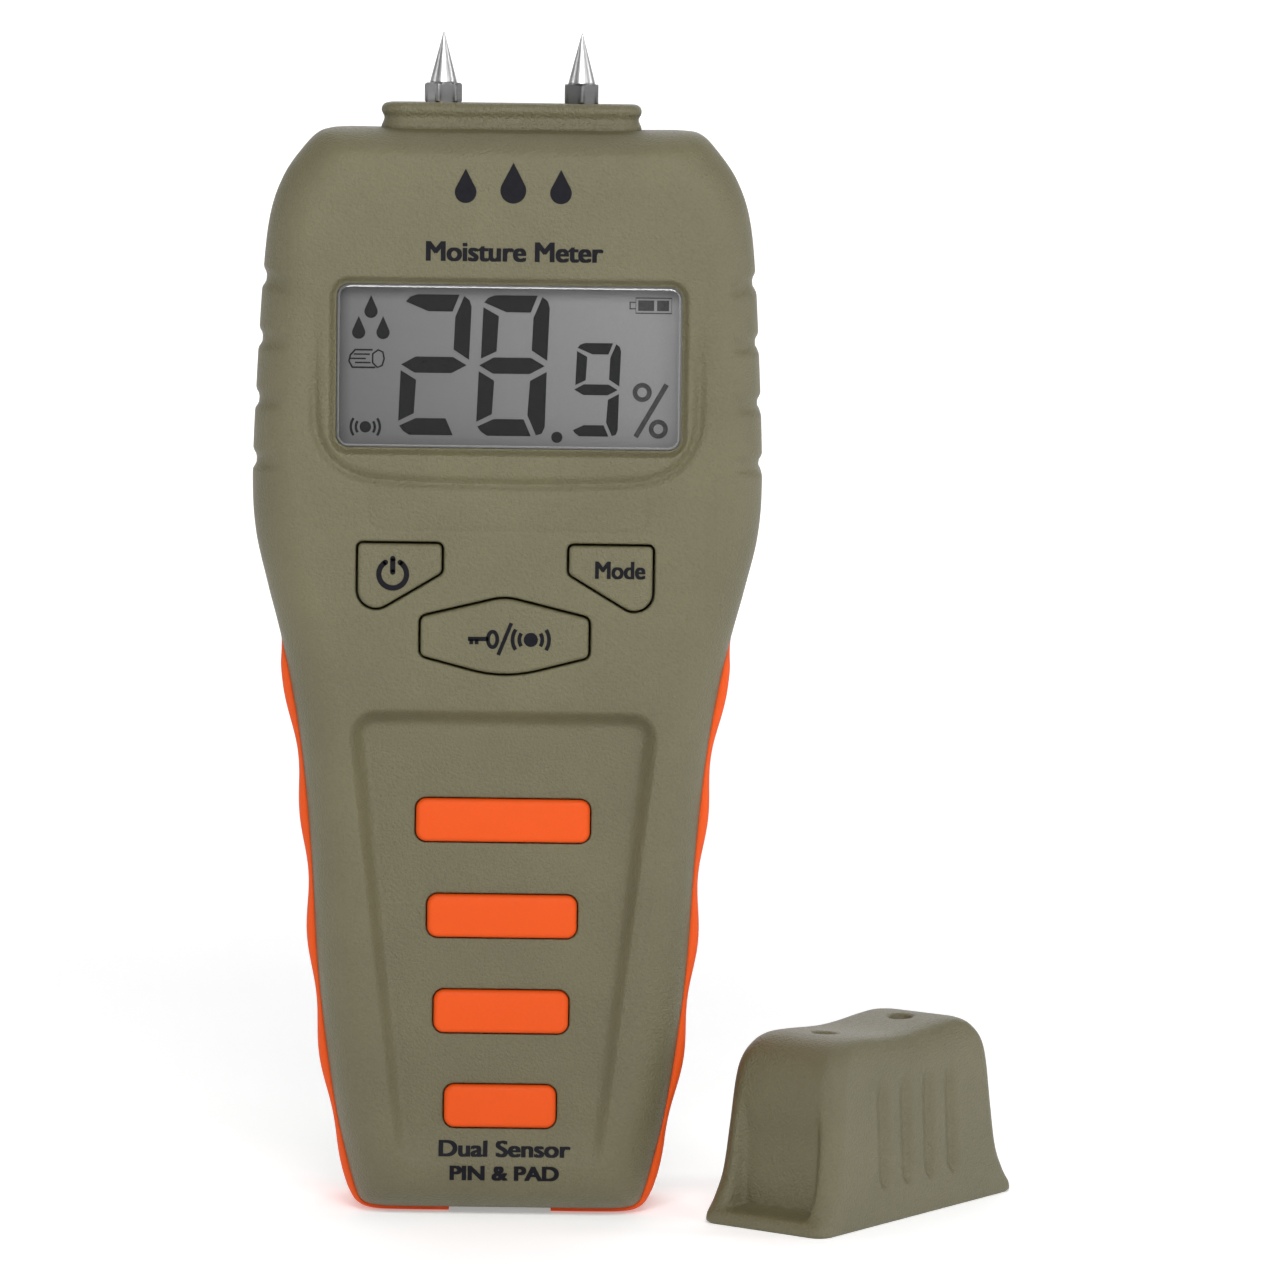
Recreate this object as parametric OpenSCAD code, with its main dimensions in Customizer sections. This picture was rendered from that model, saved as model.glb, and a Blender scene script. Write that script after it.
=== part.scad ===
// Hand-held moisture meter: two screw-in pins on a collar at the top, a contact sensor pad on the
// back, a display, three keys, rubber side grips, a 9 V battery behind a hinged door, and a loose
// protective cap that stands beside the meter.
// The meter stands on its lower end. +Z runs up along the case and the face looks towards -Y.

/* [Case] */
// Distance from the middle of the case to its flat face
face_y = 15; // [14:0.5:17]
// Wall thickness of the two case shells
wall = 2.2; // [1.8:0.1:2.6]
// Depth of the rounding that runs round the face and the back
fillet_depth = 8; // [6:0.5:9]
// Depth of the sunk lower panel at its top end
panel_depth = 2; // [1:0.1:2.4]

/* [Grips] */
// Mean thickness of the rubber that stands proud of the case
grip_proud = 0.95; // [0.7:0.05:1.2]
// Height of the finger waves, half of crest to valley
grip_wave = 0.35; // [0.1:0.05:0.5]
// Distance from one finger wave to the next
grip_pitch = 18.2; // [16:0.1:20]

/* [Display] */
// Width of the clear window
lens_w = 51.3; // [46:0.1:53]
// Height of the clear window
lens_h = 24.4; // [20:0.1:26]
// Height of the window's centre above the base
lens_z = 127.3; // [125:0.1:129]

/* [Keys] */
// Gap all round each key
key_gap = 0.25; // [0.15:0.05:0.4]
// How far each key stands proud of the face
key_proud = 0.3; // [0:0.1:0.6]

/* [Pins] */
// Distance between the two pins
pin_spacing = 20.6; // [18:0.1:24]
// Width across the flats of a pin's hexagon
hex_af = 5; // [4:0.1:5.5]
// Length of the pin's cone
cone_len = 7.6; // [6:0.1:10]

/* [Cap] */
// Height of the cap
cap_h = 28; // [27:0.5:32]
// Where the cap stands, to the right of the meter
cap_x = 54.5; // [54:0.5:80]
// Turn of the cap about the vertical
cap_yaw = 54; // [40:1:60]

/* [Hidden] */
$fn = 48;

olive = [0.48, 0.46, 0.35];
orange = [0.96, 0.38, 0.13];
steel = [0.72, 0.71, 0.70];
brass = [0.80, 0.65, 0.35];
black = [0.08, 0.08, 0.09];

top_z = 162.2;
base_z = 0.6;
collar_z = 166;
collar_w = 38.6;
collar_d = 17.4;
inner_y = face_y - wall;
slack = 0.05;

// Half outlines in (x, z), from the middle of the base round to the middle of the top. The first is
// the case at its widest, the second is the edge of the flat face, point for point.
case_edge = [[0, base_z], [7, base_z], [14, base_z], [18.6, 0.75], [20.8, 1.5], [21.8, 3.4],
    [23, 7.6], [24.7, 15], [26.3, 25], [27.8, 38], [28.8, 54], [30.4, 70], [32.9, 84],
    [35.6, 94.6], [37.4, 102.5], [37.9, 111], [37.4, 125], [36.5, 141], [35.5, 149.5],
    [33.6, 155], [30.9, 159], [28.3, 161.6], [25.3, top_z], [19.3, top_z], [9, top_z], [0, top_z]];
face_edge = [[0, 7.2], [5.5, 7.2], [10, 7.2], [12.8, 7.5], [14.6, 8.6], [15.7, 10.4],
    [16.7, 13.4], [18.1, 19], [19.6, 28], [20.8, 39.5], [21.9, 54], [23.5, 70], [25.9, 84],
    [28.4, 94.6], [30.3, 102.5], [31.1, 111], [30.8, 125], [29.9, 139], [29, 146.5],
    [27.6, 151.2], [25.4, 154.6], [23.2, 156.7], [20.6, 157.4], [15.5, 157.4], [7.5, 157.4],
    [0, 157.4]];

// Corners of the keys and of the sunk panel, each as [x, z, corner radius].
side_key = [[9.1, 101.4, 1], [22.1, 101.4, 1], [22.1, 88.9, 3], [9.1, 96.7, 1.2]];
middle_key = [[-12.75, 90.5, 1.3], [0, 93.6, 8], [12.75, 90.5, 1.3], [12.75, 84.3, 1.3],
    [0, 81, 20], [-12.75, 84.3, 1.3]];
panel_corners = [[-22.9, 76, 3.6], [22.9, 76, 3.6], [14.9, 8.4, 2.6], [-14.9, 8.4, 2.6]];
panel_low_depth = 0.35;

// The four front pads: [height of the centre above the base, width].
pads = [[59.8, 26.2], [45.5, 22.6], [31.2, 20.4], [17, 17]];
pad_h = 6.7;
pad_r = 1.7;
pad_proud = 0.4;

// The middle line of the shallow groove that runs under the window and up on both sides of it.
head_groove = [[28.4, 138], [28.4, 130], [28.4, 122], [27.9, 117], [25.6, 113.2], [21.5, 111],
    [15, 110.3], [5, 110], [0, 110]];
head_groove_w = 1.6;
head_groove_depth = 0.35;

// Centres of the power, mode and hold keys, and the face of the rubber mat behind them.
key_centres = [[-15.8, 96.4], [15.8, 96.4], [0, 87.3]];
mat_y = -8.7;

notch_z = [140, 131, 122, 113];
notch_h = 3.2;
notch_depth = 0.55;

// The flat pad that stands proud of the back over the sensor plate.
sensor_pad = [42, 38];
sensor_pad_z = 131;
sensor_pad_proud = 0.8;

case_screw_at = [[-28, 146], [28, 146], [-20.5, 68], [20.5, 68]];
board_screw_at = [[-20, 76.5], [20, 76.5], [-20, 149], [20, 149]];
board_y = -5.9;
board_t = 1.6;

battery_y = 3.9;
battery_top = 54.4;
battery_low_z = 8.4;

door_w = 32;
door_low_z = 7;
hinge_z = 62;
hinge_y = 13.8;
hinge_r = 1.2;
trunnion_r = 0.7;

grip_y0 = -8.5;
grip_y1 = 9.5;
grip_top_z = 87.6;
grip_inset = 1.2;
grip_gap = 7.5;

cap_y = 0;
cap_bore_w = 39;
cap_bore_d = 17.8;
cap_step_z = 17;
check_hole_r = 1.6;

// --- Curves -------------------------------------------------------------------------------------

function unit(v) = v / norm(v);
function mixed(a, b, f) = a + (b - a) * f;

// A smooth curve through the points, with steps pieces between one and the next.
function on_curve(p, i, t) =
    let (a = p[max(i - 1, 0)], b = p[i], c = p[i + 1], d = p[min(i + 2, len(p) - 1)])
    0.5 * (2 * b + (c - a) * t + (2 * a - 5 * b + 4 * c - d) * t * t
        + (3 * b - a - 3 * c + d) * t * t * t);
function curve(p, steps = 2) = concat(
    [for (i = [0 : len(p) - 2]) for (s = [0 : steps - 1]) on_curve(p, i, s / steps)],
    [p[len(p) - 1]]);

// The polygon with each corner [x, z, r] rounded by an arc of radius r.
function turn(a) = a > 180 ? a - 360 : a < -180 ? a + 360 : a;
function corner_arc(a, b, c, r, n = 6) =
    let (u = unit(a - b), v = unit(c - b), half = acos(u * v) / 2,
        centre = b + unit(u + v) * r / sin(half),
        from = b + u * r / tan(half) - centre, to = b + v * r / tan(half) - centre,
        start = atan2(from[1], from[0]), sweep = turn(atan2(to[1], to[0]) - start))
    [for (i = [0 : n]) centre + r * [cos(start + sweep * i / n), sin(start + sweep * i / n)]];
function xy(p) = [p[0], p[1]];
function rounded(p) = let (n = len(p))
    [for (i = [0 : n - 1])
        each corner_arc(xy(p[(i + n - 1) % n]), xy(p[i]), xy(p[(i + 1) % n]), p[i][2])];

// Both halves of a half outline as one closed loop.
function mirrored(h) = concat(h, [for (i = [len(h) - 2 : -1 : 1]) [-h[i][0], h[i][1]]]);

// A point moved out from a half outline, square to it, by distance d.
function moved_out(h, i, d) =
    let (a = h[max(i - 1, 0)], b = h[min(i + 1, len(h) - 1)], u = unit(b - a))
    h[i] + d * [u[1], -u[0]];

// --- Building blocks ----------------------------------------------------------------------------

// A 2D shape drawn in (x, z), made solid from y0 to y1.
module along_y(y0, y1) {
    translate([0, y1, 0]) rotate([90, 0, 0]) linear_extrude(y1 - y0) children();
}

module round_bar_y(r, y0, y1, x, z) {
    translate([x, y1, z]) rotate([90, 0, 0]) cylinder(r = r, h = y1 - y0);
}

module round_rect(w, d, r) {
    square([w - 2 * r, d], center = true);
    square([w, d - 2 * r], center = true);
    for (x = [-1, 1], y = [-1, 1]) translate([x * (w / 2 - r), y * (d / 2 - r)]) circle(r);
}

module box(x0, x1, y0, y1, z0, z1) {
    translate([x0, y0, z0]) cube([x1 - x0, y1 - y0, z1 - z0]);
}

// A round wire along a smooth curve through the points. It never runs straight along X.
module wire(points, r, sides = 10) {
    path = curve(points, 5);
    count = len(path);
    rings = [for (k = [0 : count - 1])
        let (run = k == 0 ? points[1] - points[0]
                : k == count - 1 ? points[len(points) - 1] - points[len(points) - 2]
                : path[k + 1] - path[k - 1],
            across = unit(cross(unit(run), [1, 0, 0])), up = cross(across, unit(run)))
        [for (j = [0 : sides - 1]) path[k]
            + r * (cos(360 * j / sides) * across + sin(360 * j / sides) * up)]];
    last = (count - 1) * sides;
    tube = [for (k = [0 : count - 2]) for (j = [0 : sides - 1])
        let (a = k * sides + j, b = k * sides + (j + 1) % sides)
        each [[a, b, a + sides], [b, b + sides, a + sides]]];
    polyhedron(points = [for (ring = rings) each ring], faces = concat(tube,
        [[for (j = [sides - 1 : -1 : 0]) j]], [[for (j = [0 : sides - 1]) last + j]]));
}

// A closed solid through rings of case outlines: each ring is [y, f], with f from 0 at the case
// edge to 1 at the face edge.
module case_loft(rings) {
    outer = curve(case_edge);
    inner = curve(face_edge);
    half = len(outer);
    n = 2 * (half - 1);
    points = [for (r = rings) each [for (p = mirrored([for (i = [0 : half - 1])
        mixed(outer[i], inner[i], r[1])])) [p[0], r[0], p[1]]]];
    hub = len(points);
    hubs = [for (r = [rings[0], rings[len(rings) - 1]]) [0, r[0], top_z / 2]];
    last = (len(rings) - 1) * n;
    sides = [for (k = [0 : len(rings) - 2]) for (i = [0 : n - 1])
        let (a = k * n + i, b = k * n + (i + 1) % n) each [[a, a + n, b], [b, a + n, b + n]]];
    ends = [for (i = [0 : n - 1]) let (j = (i + 1) % n)
        each [[i, j, hub], [last + j, last + i, hub + 1]]];
    polyhedron(points = concat(points, hubs), faces = concat(sides, ends));
}

// The outside of a shell: side is -1 for the front and 1 for the back.
module shell_outside(side) {
    rings = concat([[0, 0], [side * (face_y - fillet_depth), 0]], [for (a = [22.5 : 22.5 : 90])
        [side * (face_y - fillet_depth * (1 - sin(a))), 1 - cos(a)]]);
    case_loft(side < 0 ? rings : [for (i = [len(rings) - 1 : -1 : 0]) rings[i]]);
}

module shell_inside(side) {
    rings = [[-side * 1, 0.32], [side * (face_y - fillet_depth + 1), 0.34],
        [side * (inner_y - 2), 0.55], [side * inner_y, 0.95]];
    case_loft(side < 0 ? rings : [for (i = [len(rings) - 1 : -1 : 0]) rings[i]]);
}

// How far the sunk panel's floor lies below the face at a height.
function floor_y(z) = -face_y + mixed(panel_low_depth, panel_depth, z / 76);

// A slab parallel to the sunk panel's floor, from d0 to d1 behind it.
module floor_slab(d0, d1) {
    translate([-40, 0, 0]) rotate([90, 0, 90]) linear_extrude(80) polygon([[floor_y(0) + d0, 0],
        [floor_y(0) + d1, 0], [floor_y(82) + d1, 82], [floor_y(82) + d0, 82]]);
}

// The air in front of the sunk panel, made larger by grow and deeper by extra.
module panel_wedge(extra, grow) {
    intersection() {
        floor_slab(-5, extra);
        along_y(-face_y - 1, 0) polygon(rounded([for (c = panel_corners)
            [c[0] + sign(c[0]) * grow, c[1] + (c[1] > 40 ? grow : -grow), c[2] + grow]]));
    }
}

// --- Case ---------------------------------------------------------------------------------------

// The grip's half outline seen from the front, with share of its full thickness proud of the case.
function grip_outline(share) =
    let (h = curve(case_edge, 4),
        used = [for (i = [0 : len(h) - 1]) if (h[i][0] > grip_gap && h[i][1] < grip_top_z) i])
    concat([for (i = used) moved_out(h, i, share * grip_thickness(h[i][1]))],
        [for (k = [len(used) - 1 : -1 : 0]) moved_out(h, used[k], -grip_inset)]);

// Thickness proud of the case at a height: waves for the fingers, thinner under the base, and
// running out to nothing at the top.
function grip_thickness(z) =
    z < base_z + 0.01 ? base_z
    : (mixed(base_z, grip_proud, min(1, (z - base_z) / 3))
        + grip_wave * min(1, z / 12) * cos(360 * (z - 60) / grip_pitch))
        * min(1, (grip_top_z + 0.5 - z) / 5);

// The strip of rubber, thinner towards its front and rear edges.
module grip_block() {
    edge = 1.1;
    rings = [[grip_y0, 0.3], [grip_y0 + edge, 1], [grip_y1 - edge, 1], [grip_y1, 0.3]];
    n = len(grip_outline(1));
    half = n / 2;
    last = 3 * n;
    sides = [for (k = [0 : 2]) for (i = [0 : n - 1])
        let (a = k * n + i, b = k * n + (i + 1) % n) each [[a, b, a + n], [b, b + n, a + n]]];
    ends = [for (i = [0 : half - 2]) let (a = i, b = i + 1, c = n - 2 - i, d = n - 1 - i)
        each [[c, b, a], [d, c, a], [last + a, last + b, last + c], [last + a, last + c, last + d]]];
    polyhedron(points = [for (r = rings) each [for (p = grip_outline(r[1])) [p[0], r[0], p[1]]]],
        faces = concat(sides, ends));
}

module left_grip() {
    color(orange) mirror([1, 0, 0]) grip_block();
}

module right_grip() {
    color(orange) grip_block();
}

// The recesses in the case that the grips fill.
module grip_recesses() {
    for (s = [0, 1]) mirror([s, 0, 0]) along_y(grip_y0, grip_y1) polygon(grip_outline(1.5));
}

// Grooves for the fingers in the sides of the head.
module side_notches(y0, y1) {
    for (z = notch_z, s = [-1, 1]) {
        x = 37.4 + (z < 120 ? 0.35 : z < 135 ? -0.15 : -0.75);
        along_y(y0, y1) polygon([[s * (x - notch_depth), z - notch_h / 4],
            [s * (x - notch_depth), z + notch_h / 4], [s * (x + 1), z + notch_h],
            [s * (x + 1), z - notch_h]]);
    }
}

module collar_hole() {
    translate([0, 0, top_z - 8]) linear_extrude(20) round_rect(collar_w, collar_d, 4);
}

module key_holes() {
    along_y(-face_y - 1, 0) {
        polygon(rounded(side_key));
        mirror([1, 0]) polygon(rounded(side_key));
        polygon(rounded(middle_key));
    }
}

module pad_shapes(gap = 0) {
    for (p = pads) translate([0, p[0]]) round_rect(p[1] - 2 * gap, pad_h - 2 * gap, pad_r - gap);
}

module lens_shape(grow = 0) {
    translate([0, lens_z]) round_rect(lens_w + 2 * grow, lens_h + 2 * grow, 1.8 + grow);
}

module head_groove_cut() {
    half = curve(head_groove, 3);
    line = concat(half, [for (i = [len(half) - 2 : -1 : 0]) [-half[i][0], half[i][1]]]);
    last = len(line) - 1;
    along_y(-face_y - 1, -face_y + head_groove_depth) polygon(concat(
        [for (i = [0 : last]) moved_out(line, i, head_groove_w / 2)],
        [for (i = [last : -1 : 0]) moved_out(line, i, -head_groove_w / 2)]));
}

module front_shell() {
    color(olive) difference() {
        union() {
            difference() {
                shell_outside(-1);
                difference() {
                    shell_inside(-1);
                    panel_wedge(wall, wall);
                }
            }
            for (p = case_screw_at) round_bar_y(3, -inner_y - 0.5, -0.1, p[0], p[1]);
            for (p = board_screw_at) round_bar_y(2.4, -inner_y - 0.5, board_y - board_t, p[0], p[1]);
        }
        panel_wedge(0, 0);
        head_groove_cut();
        key_holes();
        along_y(-face_y, 0) pad_shapes();
        along_y(-face_y - 1, 0) lens_shape(0.1);
        hull() {
            along_y(-face_y - 0.1, -face_y) lens_shape(1.1);
            along_y(-face_y + 1.1, -face_y + 1.2) lens_shape(0.1);
        }
        for (p = case_screw_at) round_bar_y(1.3, -9, 1, p[0], p[1]);
        for (p = board_screw_at) round_bar_y(0.95, -inner_y, 0, p[0], p[1]);
        side_notches(-11, 1);
        collar_hole();
        grip_recesses();
    }
}

module rear_shell() {
    tray_w = 15.2;
    tray_y = -6.2;
    tray_t = 1.2;
    color(olive) difference() {
        union() {
            difference() {
                shell_outside(1);
                shell_inside(1);
            }
            along_y(face_y - 0.5, face_y + sensor_pad_proud)
                translate([0, sensor_pad_z]) round_rect(sensor_pad[0], sensor_pad[1], 4);
            for (p = case_screw_at) round_bar_y(4, 0.1, inner_y + 0.5, p[0], p[1]);
            difference() {
                box(-tray_w, tray_w, tray_y, inner_y + 0.2, door_low_z - 1.2, 65.2);
                box(-tray_w + tray_t, tray_w - tray_t, tray_y + tray_t, face_y, door_low_z,
                    hinge_z + 2);
            }
            for (s = [-1, 1]) box(s * 17.6 - 1.5, s * 17.6 + 1.5, hinge_y - 2, inner_y + 0.3,
                hinge_z - 2, hinge_z + 2.5);
        }
        door_opening();
        box(-6.5, 6.5, tray_y - 0.1, -1.8, hinge_z + 1.9, 65.3);
        for (s = [-1, 1]) translate([s * 17, hinge_y, hinge_z]) rotate([0, 90, 0])
            cylinder(r = trunnion_r + slack, h = 3.2, center = true);
        for (p = case_screw_at) {
            round_bar_y(1.6, -1, face_y + 1, p[0], p[1]);
            round_bar_y(2.9, 11, face_y + 1, p[0], p[1]);
        }
        for (i = [-1 : 1]) along_y(inner_y - 1, face_y + 1)
            translate([20, 100 + 3 * i]) square([7, 1.2], center = true);
        side_notches(-1, 11);
        collar_hole();
        grip_recesses();
    }
}

module door_opening() {
    half = door_w / 2 + 0.2;
    box(-half, half, face_y - 2.2, face_y + 1, door_low_z - 0.2, hinge_z + hinge_r + 0.2);
    box(-half, half, face_y - 2.7, face_y + 1, hinge_z - hinge_r - 0.3, hinge_z + hinge_r + 0.2);
}

// A sheet behind the sunk panel, with the four pads standing through it.
module pad_insert() {
    sheet_t = 1.2;
    color(orange) {
        intersection() {
            floor_slab(-pad_proud, wall + sheet_t);
            along_y(-face_y - 1, 0) pad_shapes(0.15);
        }
        intersection() {
            floor_slab(wall + slack, wall + sheet_t);
            along_y(-face_y - 1, 0) translate([0, 38.5]) round_rect(26, 56, 2);
        }
    }
}

// --- Pins and collar ----------------------------------------------------------------------------

module pin_collar() {
    color(olive) difference() {
        union() {
            translate([0, 0, 156]) linear_extrude(3.6) round_rect(42, 19.6, 4);
            translate([0, 0, 159.6]) linear_extrude(3.4) round_rect(collar_w - 0.1, collar_d - 0.1, 4);
            translate([0, 0, 163]) linear_extrude(1.1) round_rect(collar_w - 0.9, collar_d - 0.9, 3.6);
            translate([0, 0, 164.1]) linear_extrude(1.9) round_rect(collar_w - 0.1, collar_d - 0.1, 4);
        }
        for (s = [-1, 1]) translate([s * pin_spacing / 2, 0, 150]) cylinder(r = 3, h = 20);
    }
}

module pin_sockets() {
    color(brass) for (s = [-1, 1]) translate([s * pin_spacing / 2, 0, 0]) difference() {
        translate([0, 0, 150]) cylinder(r = 3, h = collar_z - 150);
        translate([0, 0, 155]) cylinder(r = 1.55, h = 20);
    }
}

module pin_at(x, turned) {
    stud_r = 1.5;
    hex_h = 2.9;
    color(steel) translate([x, 0, collar_z]) {
        rotate([0, 0, turned]) cylinder(r = hex_af / sqrt(3), h = hex_h, $fn = 6);
        translate([0, 0, -9]) cylinder(r = stud_r, h = 9.5);
        rotate_extrude() polygon([[0, hex_h - 0.5], [1.98, hex_h - 0.5], [1.98, hex_h + 0.1],
            [0.08, hex_h + cone_len], [0, hex_h + cone_len]]);
    }
}

module left_pin() {
    pin_at(-pin_spacing / 2, 14);
}

module right_pin() {
    pin_at(pin_spacing / 2, 30);
}

module pin_leads() {
    color([0.75, 0.1, 0.1]) for (s = [-1, 1]) wire([[s * pin_spacing / 2, 0, 150],
        [s * pin_spacing / 2, 0, 148.6], [s * 9.4, -1.5, 146], [s * 8, board_y + 1.4, 144.5],
        [s * 8, board_y, 144.5]], 0.55);
}

// --- Display ------------------------------------------------------------------------------------

module window_lens() {
    front = -face_y + 1.1;
    color([0.85, 0.9, 0.92, 0.35]) {
        along_y(front, -inner_y + slack) lens_shape();
        along_y(-inner_y + slack, -inner_y + 0.85) lens_shape(1.4);
    }
}

module lcd_glass() {
    color([0.62, 0.63, 0.62]) box(-25.8, 25.8, -11.6, -9.2, lens_z - 14, lens_z + 13);
}

module lcd_frame() {
    color(black) difference() {
        box(-27.6, 27.6, -11.6, board_y - board_t, lens_z - 15.6, lens_z + 14.8);
        box(-25.9, 25.9, -12, -9, lens_z - 14.1, lens_z + 13.1);
        box(-24.6, 24.6, -12, -5, lens_z - 9, lens_z + 11.8);
        box(-24, 24, -12, -5, lens_z - 13.4, lens_z - 10.6);
    }
}

module lcd_backlight() {
    color([0.9, 0.9, 0.88]) box(-24.4, 24.4, -9.2, board_y - board_t, lens_z - 8.8, lens_z + 11.6);
}

module lcd_connector() {
    color([0.85, 0.5, 0.55]) box(-23.8, 23.8, -9.2, board_y - board_t, lens_z - 13.2, lens_z - 10.8);
}

// --- Electronics --------------------------------------------------------------------------------

module main_board() {
    color([0.05, 0.35, 0.15]) difference() {
        box(-23.4, 23.4, board_y - board_t, board_y, 73, 152);
        for (p = board_screw_at) round_bar_y(1.2, -10, 0, p[0], p[1]);
    }
}

module board_chips() {
    color(black) {
        box(-6, 6, board_y, board_y + 1.6, 116, 128);
        box(-14, -9, board_y, board_y + 1.4, 104, 108);
        box(9, 13, board_y, board_y + 1.4, 130, 136);
        for (i = [0 : 5]) box(-10 + 4 * i, -8 + 4 * i, board_y, board_y + 0.8, 110, 111.3);
    }
}

module buzzer() {
    color(black) difference() {
        round_bar_y(6, board_y, board_y + 4.5, 14, 96);
        round_bar_y(1, board_y + 3, board_y + 5, 14, 96);
    }
}

module sensor_plate() {
    color(brass) box(-19, 19, inner_y - 0.4, inner_y, 114, 148);
}

module sensor_lead() {
    color([0.1, 0.1, 0.1]) wire([[16, inner_y - 0.4, 118], [16, inner_y - 1.6, 118], [16, 8, 117],
        [15, 0, 114], [15, board_y + 1.4, 113], [15, board_y, 113]], 0.5);
}

// --- Keys ---------------------------------------------------------------------------------------

module key_shape(which, grow) {
    points = which == 2 ? rounded(middle_key) : rounded(side_key);
    mirror([which == 0 ? 1 : 0, 0]) polygon([for (p = points)
        let (c = which == 2 ? key_centres[2] : key_centres[1]) p + unit(p - c) * grow]);
}

// A key cap with a lip that keeps it behind the face and a stem that presses its rubber dome.
module key_cap(which) {
    c = key_centres[which];
    color(olive) {
        along_y(-face_y - key_proud, -inner_y + 0.3) key_shape(which, -key_gap);
        along_y(-inner_y + 0.2, -inner_y + 1.2) key_shape(which, 0.7);
        round_bar_y(2.2, -inner_y + 1, -10.3, c[0], c[1]);
    }
}

module power_key() {
    key_cap(0);
}

module mode_key() {
    key_cap(1);
}

module hold_key() {
    key_cap(2);
}

module key_mat() {
    color([0.3, 0.3, 0.3]) along_y(mat_y, board_y - board_t) translate([0, 91.8]) round_rect(45, 21, 2);
}

// A hollow rubber cone that stands on the mat and carries the key's stem.
module key_dome(which) {
    c = key_centres[which];
    height = mat_y + 10.3 - slack;
    color([0.3, 0.3, 0.3]) translate([c[0], mat_y, c[1]]) rotate([90, 0, 0]) rotate_extrude()
        polygon([[3, 0], [3.6, 0], [2.3, height], [0, height], [0, height - 0.7], [1.8, height - 0.7]]);
}

module power_dome() {
    key_dome(0);
}

module mode_dome() {
    key_dome(1);
}

module hold_dome() {
    key_dome(2);
}

// --- Battery and door ---------------------------------------------------------------------------

module battery() {
    color([0.15, 0.15, 0.17]) translate([0, battery_y, battery_low_z])
        linear_extrude(battery_top - battery_low_z) round_rect(26.4, 17.4, 2);
}

module battery_studs() {
    color(steel) for (s = [-1, 1]) translate([s * 6.4, battery_y, battery_top])
        cylinder(r = s < 0 ? 2.8 : 3.8, h = 2.4);
}

module battery_snap() {
    color(black) difference() {
        translate([0, battery_y, battery_top + 0.1]) linear_extrude(5) round_rect(25, 13, 3);
        translate([-6.4, battery_y, battery_top]) cylinder(r = 2.9, h = 3);
        translate([6.4, battery_y, battery_top]) cylinder(r = 3.9, h = 3);
    }
}

module battery_leads() {
    top = battery_top + 5.1;
    for (s = [-1, 1]) color(s < 0 ? [0.7, 0.08, 0.08] : black)
        wire([[s * 3, battery_y, top], [s * 3, battery_y, top + 0.8], [s * 3.2, battery_y - 2, 62],
            [s * 3.6, -1.8, 62.2], [s * 4, -3.4, 64.6], [s * 4.6, -3.4, 70], [s * 5, -3.5, 74.4],
            [s * 5, board_y + 1.2, 76], [s * 5, board_y, 76]], 0.6);
}

// A plate that turns on two trunnions in its rounded upper edge, with a finger ridge and a catch.
module battery_door() {
    color(olive) difference() {
        union() {
            intersection() {
                along_y(face_y - 2, face_y) translate([0, (door_low_z + hinge_z) / 2])
                    square([door_w, hinge_z - door_low_z], center = true);
                shell_outside(1);
            }
            translate([0, hinge_y, hinge_z]) rotate([0, 90, 0]) {
                cylinder(r = hinge_r, h = door_w, center = true);
                cylinder(r = trunnion_r, h = door_w + 3, center = true);
            }
            box(-5, 5, face_y - 3.2, face_y - 1.9, door_low_z + 0.2, door_low_z + 1.4);
            for (i = [0 : 3]) box(-6 + i * 0.6, 6 - i * 0.6, face_y - 0.1, face_y + 0.5,
                door_low_z + 4.4 + 1.6 * i, door_low_z + 5.2 + 1.6 * i);
        }
        for (s = [-1, 1]) box(s * 7.4 - 0.4, s * 7.4 + 0.4, face_y - 3, face_y + 1, door_low_z - 1,
            door_low_z + 13);
    }
}

// --- Fasteners ----------------------------------------------------------------------------------

module case_screws() {
    color(steel) for (p = case_screw_at) difference() {
        union() {
            round_bar_y(2.7, 11, 12.8, p[0], p[1]);
            round_bar_y(1.25, -6.5, 11.5, p[0], p[1]);
        }
        for (t = [0, 90]) translate([p[0], 12.5, p[1]]) rotate([0, t, 0])
            cube([3, 1.2, 0.6], center = true);
    }
}

module board_screws() {
    color(steel) for (p = board_screw_at) {
        round_bar_y(1.9, board_y, board_y + 1.3, p[0], p[1]);
        round_bar_y(0.9, -11.5, board_y + 0.5, p[0], p[1]);
    }
}

// --- Cap ----------------------------------------------------------------------------------------

// Half length, half depth and corner radius of the cap at each height.
cap_rings = [[0, 26.2, 11.1, 2.2], [1.4, 26, 11.05, 2.2], [3.6, 24.5, 10.9, 2.4],
    [7.5, 22.9, 10.6, 2.6], [14, 22.1, 10.2, 2.8], [21, 21.4, 9.8, 3],
    [cap_h - 3.6, 20.4, 9.4, 3], [cap_h - 1.4, 18.6, 8.6, 3], [cap_h - 0.35, 16.6, 7.6, 2.8],
    [cap_h, 14.4, 6.2, 2.4]];

module placed_cap() {
    translate([cap_x, cap_y, 0]) rotate([0, 0, cap_yaw]) children();
}

function rect_ring(a, b, r, z, n = 5) = [for (q = [0 : 3]) for (i = [0 : n])
    let (t = 90 * q + 90 * i / n, sx = q == 0 || q == 3 ? 1 : -1, sy = q < 2 ? 1 : -1)
    [sx * (a - r) + r * cos(t), sy * (b - r) + r * sin(t), z]];

module cap_outside() {
    rings = [for (c = cap_rings) rect_ring(c[1], c[2], c[3], c[0])];
    n = len(rings[0]);
    top = n * (len(rings) - 1);
    sides = [for (k = [0 : len(rings) - 2]) for (i = [0 : n - 1])
        let (a = k * n + i, b = k * n + (i + 1) % n) each [[a, a + n, b], [b, a + n, b + n]]];
    polyhedron(points = [for (r = rings) each r],
        faces = concat(sides, [[for (i = [0 : n - 1]) i]], [[for (i = [n - 1 : -1 : 0]) top + i]]));
}

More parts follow.
